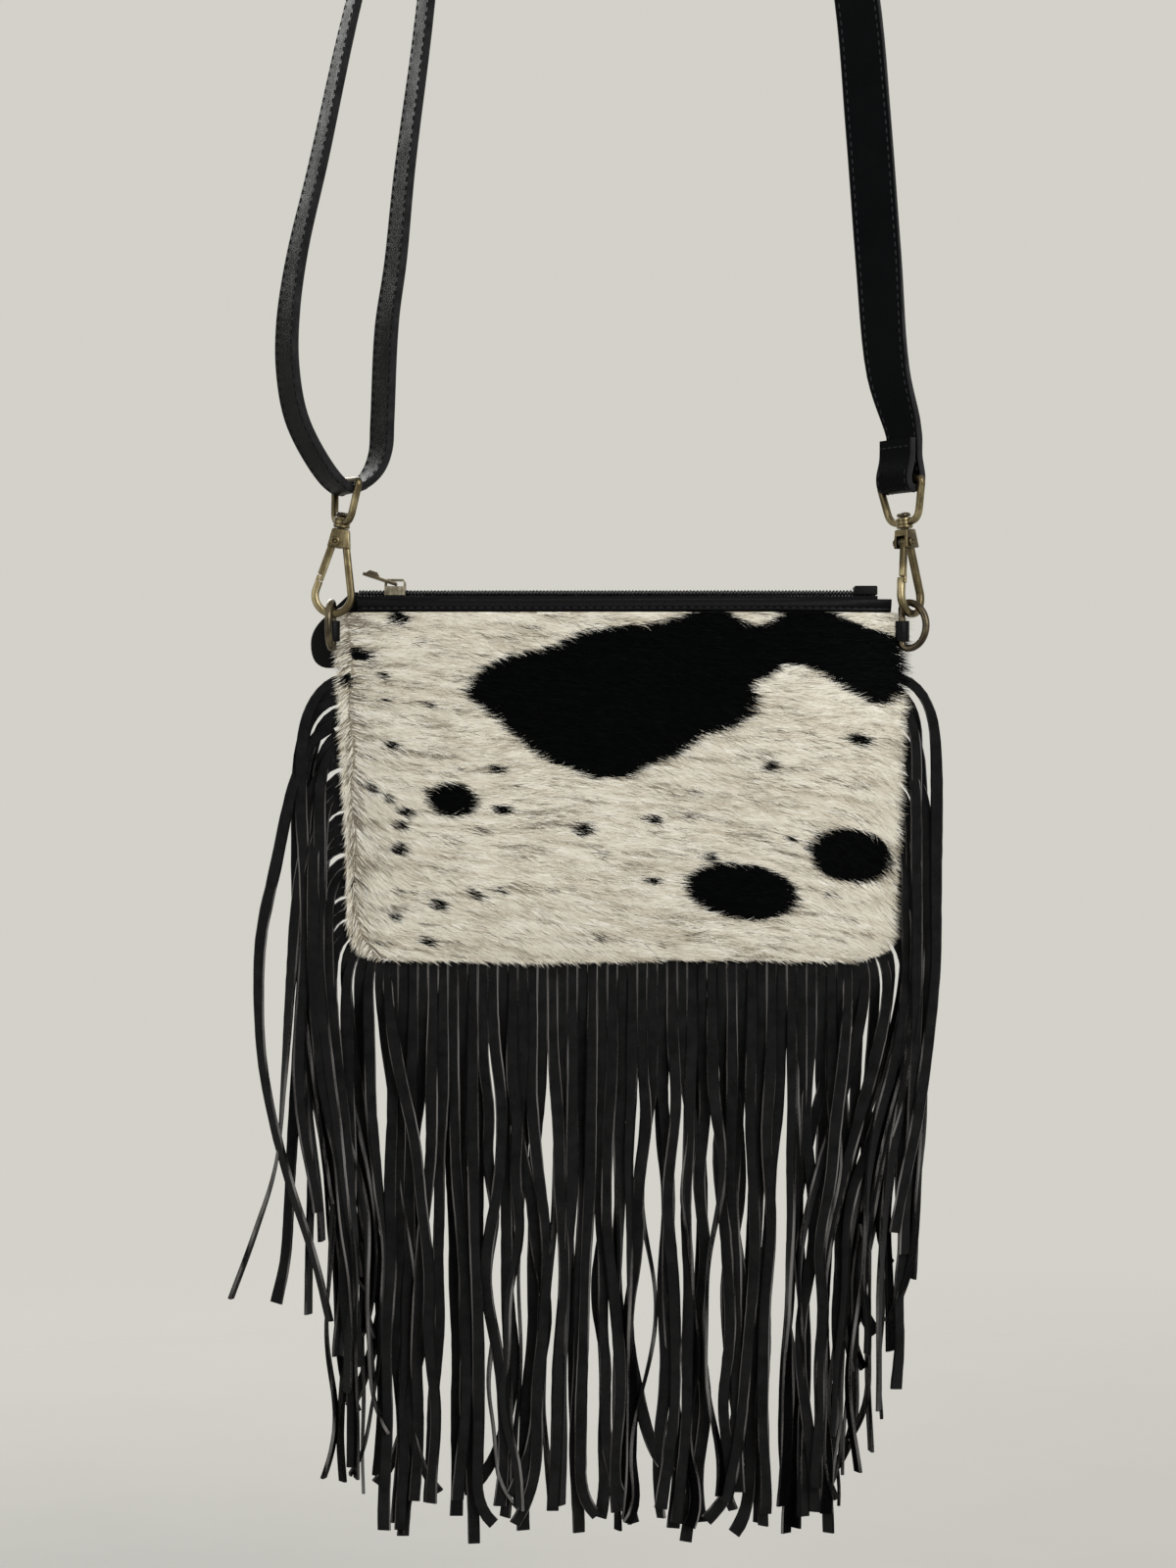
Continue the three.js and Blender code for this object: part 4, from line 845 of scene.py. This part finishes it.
def strap_piece():
    line = strap_line(6)
    turn = np.radians(line[:, 3])
    across = np.stack([np.cos(turn), -np.sin(turn), np.zeros_like(turn)], -1)
    rings = ribbon(line[:, :3], across, STRAP_WIDTH, line[:, 4], 0.16)
    points, faces, slots = strip_mesh(rings)
    piece = new_mesh("strap_leather", points, faces, [strap_leather, strap_leather, strap_edge], slots)
    smooth_within(piece, 32)
    settle(piece, "strap_set", "strap", slot="leather")
    along = directions(line[:, :3])
    across = across - (across * along).sum(1, keepdims=True) * along
    across /= np.linalg.norm(across, axis=1, keepdims=True)
    face = np.cross(along, across)
    rows = []
    for edge in (-STITCH_EDGE, STITCH_EDGE):
        for out in (-1, 1):
            row = line[:, :3] + across * edge + face * (out * (line[:, 4:5] / 2 + 0.05))
            rows.append(resample(np.hstack([row, along, face * out]), 390)[4:-4])
    side_way = np.array([math.cos(SEWN_TURN), -math.sin(SEWN_TURN), 0])
    out = np.array([-math.sin(SEWN_TURN), -math.cos(SEWN_TURN), 0])
    centres = SEWN_END + side_way * np.linspace(-6.4, 6.4, 5)[:, None] + out * 1.55
    rows.append(np.hstack([centres, np.tile(side_way, (5, 1)), np.tile(out, (5, 1))]))
    row = np.vstack(rows)
    stitches("strap_stitches", row[:, :3], row[:, 3:6], row[:, 6:], 2.3, "strap_set")


strap_piece()


# Back panel, zip and bands


STITCH_INSET = 3.2


def back_panel():
    columns, rows = 120, 80
    x, z, u = panel_grid(columns, rows)
    soft = 0.35 * np.sin(x / 19 + 1.0) * np.sin(z / 24) * (1 - np.abs(u[None, :]) ** 4)
    inner = SEAM + 0.05 + room(x, z, BACK_BULGE)
    edge = np.minimum(np.minimum(half_width(z) - np.abs(x), z - PANEL_BOTTOM), PANEL_TOP - z)
    dip = 0.35 * np.exp(-(((edge - STITCH_INSET) / 0.9) ** 2))
    outer = inner + BACK_THICK + np.maximum(soft, 0) * smooth_step(edge / 12) - dip
    points = np.concatenate([np.stack([x, inner, z + RIM], -1), np.stack([x, outer, z + RIM], -1)])
    piece = new_mesh("back_leather", points.reshape(-1, 3), shell_faces(rows, columns), [black_leather])
    settle(piece, "pouch", "back_panel", slot="leather")
    height = np.linspace(PANEL_TOP - 4, PANEL_BOTTOM + CORNER, 60)
    arc = np.linspace(0, np.pi / 2, 30)
    middle, bend = HALF_WIDTH - TAPER - CORNER, CORNER - STITCH_INSET
    right = np.concatenate([
        np.stack([half_width(height) - STITCH_INSET, height], -1),
        np.stack([middle + bend * np.cos(arc), PANEL_BOTTOM + CORNER - bend * np.sin(arc)], -1),
    ])
    seam_line = resample(np.vstack([right, right[::-1] * [-1, 1]]), 150)
    y = SEAM + BACK_THICK + room(seam_line[:, 0], seam_line[:, 1], BACK_BULGE) - 0.22
    centres = np.stack([seam_line[:, 0], y, seam_line[:, 1] + RIM], -1)
    out = np.tile([0.0, 1.0, 0.0], (len(centres), 1))
    stitches("back_stitches", centres, np.gradient(centres, axis=0), out, 2.6, "pouch")


ZIP_HALF, TAPE_TOP, KNEE = 106.7, -2.7, 5.0
BAND_END = 112.4


def tape_face(x):
    return SEAM + room(x, np.full(np.shape(x), PANEL_TOP), 0.0) - 0.3


def tape_at(x, z):
    return KNEE + (tape_face(x) - KNEE) * (TAPE_TOP - z) / (TAPE_TOP - PANEL_TOP)


def along_zip(name, section, material, node, slot, end=ZIP_HALF):
    """A closed section, a list of (out, z) for each x, lofted along the zip."""
    x = np.linspace(-ZIP_HALF, end, 90)
    rings = np.stack([np.stack([x, *section_point(x)], -1) for section_point in section], 1)
    rings[:, :, 2] += RIM
    count, size = rings.shape[:2]
    base = np.arange(count - 1)[:, None] * size + np.arange(size)
    after = np.arange(count - 1)[:, None] * size + (np.arange(size) + 1) % size
    faces = np.stack([base, after, after + size, base + size], -1).reshape(-1, 4)
    half = size // 2
    cap = np.array([[i, i + 1, size - 2 - i, size - 1 - i] for i in range(half - 1)])
    faces = np.concatenate([faces, cap[:, ::-1], cap + (count - 1) * size])
    piece = new_mesh(name, rings.reshape(-1, 3), faces, [material])
    shape(piece, FACE_OUT)
    smooth_within(piece, 40)
    return settle(piece, "pouch", node, slot=slot)


BAND_SECTION = [
    (0.0, -4.0), (0.0, -4.6), (0.0, -5.4), (0.0, -6.2), (0.0, -7.0), (0.0, -7.8), (0.0, -8.5), (0.05, -9.2),
    (0.9, -9.2), (1.4, -8.7), (1.3, -8.2), (0.95, -7.8), (1.35, -7.4), (1.6, -6.5), (1.5, -5.3), (0.9, -4.2),
]


def top_band(name, side):
    def spot(out, z):
        return lambda x: (side * (tape_at(x, z) + 0.3 + out), np.full_like(x, z) + 0.12 * np.sin(x / 31))

    section = [spot(*p) for p in BAND_SECTION]
    along_zip(f"band_{name}", section, black_leather, f"top_band_{name}", "leather", BAND_END)
    x = np.linspace(-ZIP_HALF + 3, BAND_END - 2, 68)
    z = np.full_like(x, -7.8)
    centres = np.stack([x, side * (tape_at(x, z) + 1.3), z + RIM], -1)
    out = np.tile([0.0, side, 0.0], (len(x), 1))
    stitches(f"band_stitches_{name}", centres, np.gradient(centres, axis=0), out, 2.5, "pouch", 0.3)


def zip_tape(name, side):
    def level(out, z):
        wave = 0.06 * (out > 3)
        return lambda x: (np.full_like(x, side * out), np.full_like(x, z) + wave * np.sin(x / 3.1))

    def wall(drop, z):
        return lambda x: (side * (tape_face(x) - drop), np.full_like(x, z))

    section = [
        level(0.75, -2.7), level(2.0, -2.68), level(3.4, -2.7), level(5.0, -2.75),
        wall(0.0, -9.5), wall(0.0, -14.0), wall(0.6, -14.0), wall(0.6, -9.5),
        level(4.4, -3.3), level(3.4, -3.3), level(2.0, -3.3), level(0.75, -3.3),
    ]
    piece = along_zip(f"tape_{name}", section, zip_weave, f"zip_tape_{name}", "tape")


def zip_teeth(name, side):
    """One bead of the coil, repeated along its row."""
    bpy.ops.object.select_all(action="DESELECT")
    bpy.ops.mesh.primitive_uv_sphere_add(segments=10, ring_count=6, radius=1.0)
    bead = bpy.context.object
    points = np.array([v.co for v in bead.data.vertices])
    triangles = []
    for face in bead.data.polygons:
        corners = list(face.vertices)
        triangles += [corners[:3]] + ([[corners[0], corners[2], corners[3]]] if len(corners) == 4 else [])
    bpy.data.objects.remove(bead)
    points = points * [0.62, 1.15, 1.36]
    points[:, 0] += 0.16 * side * points[:, 1]
    pitch = 1.4
    x = np.arange(-ZIP_HALF + 0.8, ZIP_HALF - 0.8, pitch) + (pitch / 2 if side > 0 else 0)
    x = x[x < ZIP_HALF - 0.7]
    row = points[None] + np.stack([x, np.full_like(x, side * 1.8), np.full_like(x, -1.42 + RIM)], -1)[:, None]
    faces = (np.arange(len(x))[:, None, None] * len(points) + np.array(triangles)[None]).reshape(-1, 3)
    piece = new_mesh(f"coil_{name}", row.reshape(-1, 3), faces, [coil_nylon])
    settle(piece, "pouch", f"zip_coil_{name}", slot="nylon")


back_panel()
for name, side in (("front", -1), ("back", 1)):
    top_band(name, side)
    zip_tape(name, side)
    zip_teeth(name, side)


# Hard pieces, modelled in millimetres in their own frames


def bent_rod(name, points, radius, closed=False, square=False):
    bpy.ops.object.select_all(action="DESELECT")
    if square:
        turn = np.linspace(0, 2 * np.pi, 20, endpoint=False)
        cut = radius * np.stack([np.cos(turn), np.sin(turn)], -1)
        cut *= ((np.abs(np.cos(turn)) ** 3 + np.abs(np.sin(turn)) ** 3) ** (-1 / 3))[:, None]
        bpy.ops.curve.primitive_nurbs_path_add()
        profile = bpy.context.object
        profile.data.splines.clear()
        line = profile.data.splines.new("POLY")
        line.points.add(len(cut) - 1)
        line.points.foreach_set("co", np.column_stack([cut, np.zeros(20), np.ones(20)]).ravel())
        line.use_cyclic_u = True
        bpy.ops.object.select_all(action="DESELECT")
    bpy.ops.curve.primitive_nurbs_path_add()
    rod = bpy.context.object
    rod.name = name
    shape = rod.data
    shape.splines.clear()
    line = shape.splines.new("POLY")
    line.points.add(len(points) - 1)
    line.points.foreach_set("co", np.column_stack([points, np.ones(len(points))]).ravel())
    line.use_cyclic_u = closed
    shape.bevel_depth = radius
    shape.bevel_resolution = 5
    if square:
        shape.bevel_mode = "OBJECT"
        shape.bevel_object = profile
    shape.use_fill_caps = not closed
    bpy.ops.object.convert(target="MESH")
    rod = bpy.context.object
    if square:
        bpy.data.objects.remove(profile)
    tidy(rod)
    return rod


def tidy(piece):
    shape(piece, (bpy.ops.mesh.remove_doubles, {"threshold": 0.002}), FACE_OUT)


def turned(name, profile, steps=36):
    """A profile of (radius, height) spun round the upright axis."""
    bpy.ops.object.select_all(action="DESELECT")
    bpy.ops.mesh.primitive_circle_add(vertices=len(profile), radius=1)
    piece = bpy.context.object
    piece.name = name
    for vertex, (radius, height) in zip(piece.data.vertices, profile):
        vertex.co = (radius, 0, height)
    turn = {"steps": steps, "angle": 2 * math.pi, "center": (0, 0, 0), "axis": (0, 0, 1)}
    shape(piece, (bpy.ops.mesh.spin, turn))
    tidy(piece)
    return piece


def block(name, low, high, ease, segments=3):
    bpy.ops.object.select_all(action="DESELECT")
    low, high = np.array(low), np.array(high)
    bpy.ops.mesh.primitive_cube_add(size=1, location=(low + high) / 2, scale=high - low)
    bpy.ops.object.transform_apply(location=True, rotation=True, scale=True)
    piece = bpy.context.object
    piece.name = name
    if ease:
        ease_edges(piece, ease, segments)
    return piece


def combine(piece, others, operation="UNION"):
    for other in others:
        pick_only(piece)
        cut = piece.modifiers.new("cut", "BOOLEAN")
        cut.operation = operation
        cut.object = other
        cut.solver = "EXACT"
        bpy.ops.object.modifier_apply(modifier=cut.name)
        bpy.data.objects.remove(other)
    return piece


def arc(x, z, width, height, start, end, steps):
    turn = np.radians(np.linspace(start, end, steps))
    return np.stack([x + width * np.cos(turn), np.zeros(steps), z + height * np.sin(turn)], -1)


def place(at, tilt=0.0, turn=0.0):
    to = Matrix.Translation([v * MM for v in at]) @ Matrix.Rotation(math.radians(tilt), 4, "Y")
    return to @ Matrix.Rotation(math.radians(turn), 4, "Z") @ Matrix.Scale(MM, 4)


def put(master, name, where, body, node, finish, slot="brass"):
    piece = master.copy()
    piece.data = master.data.copy()
    piece.name = name
    piece.data.transform(where)
    piece.data.materials.clear()
    piece.data.materials.append(finish)
    bpy.context.scene.collection.objects.link(piece)
    smooth_within(piece, 35)
    return settle(piece, body, node, slot=slot)


RING_RADIUS, HOOK_RADIUS, EYE_RADIUS, SPRING_RADIUS = 1.5, 1.55, 1.4, 0.19
RIVET_BORE, POST_BORE = 1.3, 1.8
LEAN = 13.0
HEAD_TOP, HEAD_BOTTOM = -19.8, -27.6
NOSE = np.array([-6.4005, 0, -42.027])
PIVOT = np.array([-1.69, 0, -25.18])


def on_leg(piece):
    """From the gate leg's own frame (x inwards, z up from the nose) to the hook's."""
    turn = Matrix.Rotation(math.radians(LEAN), 4, "Y")
    piece.data.transform(Matrix.Translation(NOSE) @ turn)
    return piece


def d_ring():
    path = np.vstack([
        np.stack([np.zeros(6), np.zeros(6), np.linspace(-6.8, 6.8, 6)], -1)[:-1],
        arc(2.6, 6.8, 2.6, 2.6, 180, 90, 7)[:-1],
        arc(2.6, 0, 7.8, 9.4, 90, -90, 34)[:-1],
        arc(2.6, -6.8, 2.6, 2.6, 270, 180, 7)[:-1],
    ])
    return bent_rod("ring", path, RING_RADIUS, closed=True)


def swivel_eye():
    half, foot = 12.5, 8.0
    corners = [((-half, 0), 2.6), ((half, 0), 2.6), ((foot, -17), 5.0), ((-foot, -17), 5.0)]
    path = []
    for k, (spot, reach) in enumerate(corners):
        spot = np.array(spot)
        before = np.array(corners[k - 1][0]) - spot
        after = np.array(corners[(k + 1) % 4][0]) - spot
        a = spot + before / np.linalg.norm(before) * reach
        b = spot + after / np.linalg.norm(after) * reach
        for t in np.linspace(0, 1, 9):
            path.append((1 - t) ** 2 * a + 2 * t * (1 - t) * spot + t**2 * b)
    path = np.array(path)
    path = np.stack([path[:, 0], np.zeros(len(path)), path[:, 1]], -1)
    loop = bent_rod("eye", path, EYE_RADIUS, closed=True, square=True)
    boss = turned("boss", [
        (0.9, -19.4), (3.0, -19.4), (3.4, -19.0), (3.4, -18.2), (3.1, -18.0), (3.1, -17.8), (3.4, -17.6),
        (3.4, -16.6), (3.1, -16.4), (3.1, -16.2), (3.4, -16.0), (3.3, -15.3), (2.9, -15.0), (0.9, -15.0),
    ])
    bore = turned("bore", [(0, -25), (POST_BORE, -25), (POST_BORE, -10), (0, -10)])
    return combine(combine(loop, [boss]), [bore], "DIFFERENCE")


def swivel_post():
    return turned("post", [
        (0, -21.7), (1.3, -21.7), (1.5, -21.5), (1.5, -14.6), (2.6, -14.6), (2.9, -14.3), (2.9, -13.9),
        (2.6, -13.3), (1.8, -12.9), (0.8, -12.8), (0, -12.8),
    ])


def at_rivet(piece, forward=0.0):
    """From an upright axis to the gate rivet's, which lies front to back."""
    to = Matrix.Translation((PIVOT[0], forward, PIVOT[2])) @ Matrix.Rotation(math.pi / 2, 4, "X")
    piece.data.transform(to)
    return piece


def rivet_hole():
    return at_rivet(turned("rivet hole", [(0, -9), (RIVET_BORE, -9), (RIVET_BORE, 9), (0, 9)]))


def hook_body():
    head = block("head", (-4.7, -3.35, HEAD_BOTTOM), (4.7, 3.35, HEAD_TOP), 0)
    for corner in head.data.vertices:
        if corner.co.z > HEAD_TOP - 1:
            corner.co.x *= 0.74
            corner.co.y *= 0.9
    ease_edges(head, 0.5)
    bow = arc(0, -47.2, 7.4, 7.4, LEAN, -180 - LEAN, 44)
    shank = np.vstack([[(2.169, 0, -23.7)], bow, [NOSE]])
    rod = bent_rod("shank", shank, HOOK_RADIUS, square=True)
    lip = on_leg(block("lip", (-1.55, -1.2, -1.0), (-0.15, 1.2, 2.4), 0.25, 2))
    slot = block("slot", (-20, -2.05, HEAD_BOTTOM - 2), (PIVOT[0] + 2.7, 2.05, PIVOT[2] + 2.7), 0)
    deep = HEAD_TOP - 2.2
    post_bore = turned("post bore", [(0, deep), (POST_BORE, deep), (POST_BORE, 0), (0, 0)])
    combine(head, [rod])
    combine(head, [slot, rivet_hole(), post_bore], "DIFFERENCE")
    return combine(head, [lip])


def hook_gate():
    top = 17.476
    lever = on_leg(block("lever", (-1.55, -1.75, 2.7), (1.55, 0.65, top), 0.65))
    lap = on_leg(block("lap", (0.15, -1.7, 0.3), (1.5, 0.6, 4.2), 0.3))
    eye = turned("gate eye", [(0, -1.2), (2.1, -1.2), (2.4, -0.9), (2.4, 0.9), (2.1, 1.2), (0, 1.2)])
    at_rivet(eye, -0.55)
    return combine(combine(lever, [lap, eye]), [rivet_hole()], "DIFFERENCE")


def gate_rivet():
    head = [
        (0, 3.75), (0.55, 3.75), (0.8, 4.1), (1.05, 4.4), (1.5, 4.45), (1.85, 4.25), (2.0, 3.9), (1.9, 3.65),
        (1.0, 3.65),
    ]
    return at_rivet(turned("rivet", head + [(r, -h) for r, h in head[::-1]]))


def gate_spring():
    t = np.linspace(0, 4 * np.pi, 60)
    path = np.stack([PIVOT[0] + 1.7 * np.cos(t), 1.15 + 0.4 * t / t[-1], PIVOT[2] + 1.7 * np.sin(t)], -1)
    return bent_rod("spring", path, SPRING_RADIUS)


def softened(node, ease, name, body, finish, slot, edge=None):
    """A CAD piece with its edges eased."""
    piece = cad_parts[node].copy()
    piece.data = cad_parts[node].data.copy()
    piece.name = name
    for key in list(piece.keys()):
        del piece[key]
    piece.parent = None
    bpy.context.scene.collection.objects.link(piece)
    flat = (bpy.ops.mesh.dissolve_limited, {"angle_limit": math.radians(1)})
    shape(piece, (bpy.ops.mesh.remove_doubles, {"threshold": 2e-6}), flat)
    bevel = piece.modifiers.new("ease", "BEVEL")
    bevel.width = ease * MM
    bevel.segments = 3
    bevel.limit_method = "ANGLE"
    bevel.angle_limit = math.radians(30)
    bpy.ops.object.modifier_apply(modifier=bevel.name)
    smooth_within(piece, 40)
    piece.data.materials.clear()
    piece.data.materials.append(finish)
    if edge:
        piece.data.materials.append(edge)
        for face in piece.data.polygons:
            face.material_index = int(abs(face.normal.y) < 0.6)
    return settle(piece, body, node, slot=slot)


def hardware():
    masters = {
        "ring": d_ring(), "swivel_eye": swivel_eye(), "swivel_post": swivel_post(), "hook": hook_body(),
        "gate": hook_gate(), "gate_rivet": gate_rivet(), "gate_spring": gate_spring(),
    }
    sides = {
        "left": ((-116.9, -2, RIM - 14.8), -96, (-110.716, -6.475, RIM + 44.11), 7, -62, 0),
        "right": ((116.9, -2, RIM - 14.8), -25, (116.22, -3.902, RIM + 44.309), -5, -52, 52),
    }
    for side, (ring_at, ring_turn, bar, tilt, eye_turn, hook_turn) in sides.items():
        ring_place, eye_place = place(ring_at, 0, ring_turn), place(bar, tilt, eye_turn)
        hook_place = place(bar, tilt, hook_turn)
        put(masters["ring"], f"{side}_d_ring_wire", ring_place, f"{side}_d_ring", f"{side}_ring", dark_brass)
        put(masters["swivel_eye"], f"{side}_eye", eye_place, "strap_set", f"{side}_swivel_eye", brass)
        for part, body, finish in (
            ("hook", "snap", brass), ("swivel_post", "snap", dark_brass), ("gate", "lever", brass),
            ("gate_rivet", "snap", brass), ("gate_spring", "snap", spring_steel),
        ):
            kind = "steel" if part == "gate_spring" else "brass"
            node = f"{side}_{part}"
            put(masters[part], f"{node}_shaped", hook_place, f"{side}_{body}", node, finish, kind)
        softened(f"{side}_ring_tab", 0.35, f"{side}_ring_loop", "pouch", black_leather, "leather")
    for master in masters.values():
        bpy.data.objects.remove(master)
    softened("zip_slider", 0.22, "zip_slider_body", "zip_runner", pale_brass, "brass")
    softened("zip_pull", 0.3, "zip_pull_plate", "pull_tab", dark_brass, "brass")
    pad = block("pull pad", (-13.2, -3.0, 0.3), (-6.6, 3.0, 2.3), 0)
    for corner in pad.data.vertices:
        if corner.co.z > 1:
            corner.co.x = -10.2 + (corner.co.x + 9.9) * 0.5
            corner.co.y *= 0.28
    pad.data.transform(place((-91.4, 0, RIM + 2.4), 18))
    pad.name = "zip_pull_pad"
    ease_edges(pad, 0.2 * MM)
    smooth_within(pad, 35)
    pad.data.materials.append(dark_brass)
    settle(pad, "pull_tab", slot="brass")
    softened("strap_slider", 0.6, "strap_slider_frame", "strap_set", brass, "brass")
    softened("zip_end_tab", 0.6, "zip_end_cover", "pouch", black_leather, "leather")
    softened("zip_tail_tab", 0.5, "zip_tail_leather", "pouch", black_leather, "leather", edge=cut_edge)


hardware()

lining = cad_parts["lining"]
lining.data.materials.clear()
lining.data.materials.append(lining_cloth)
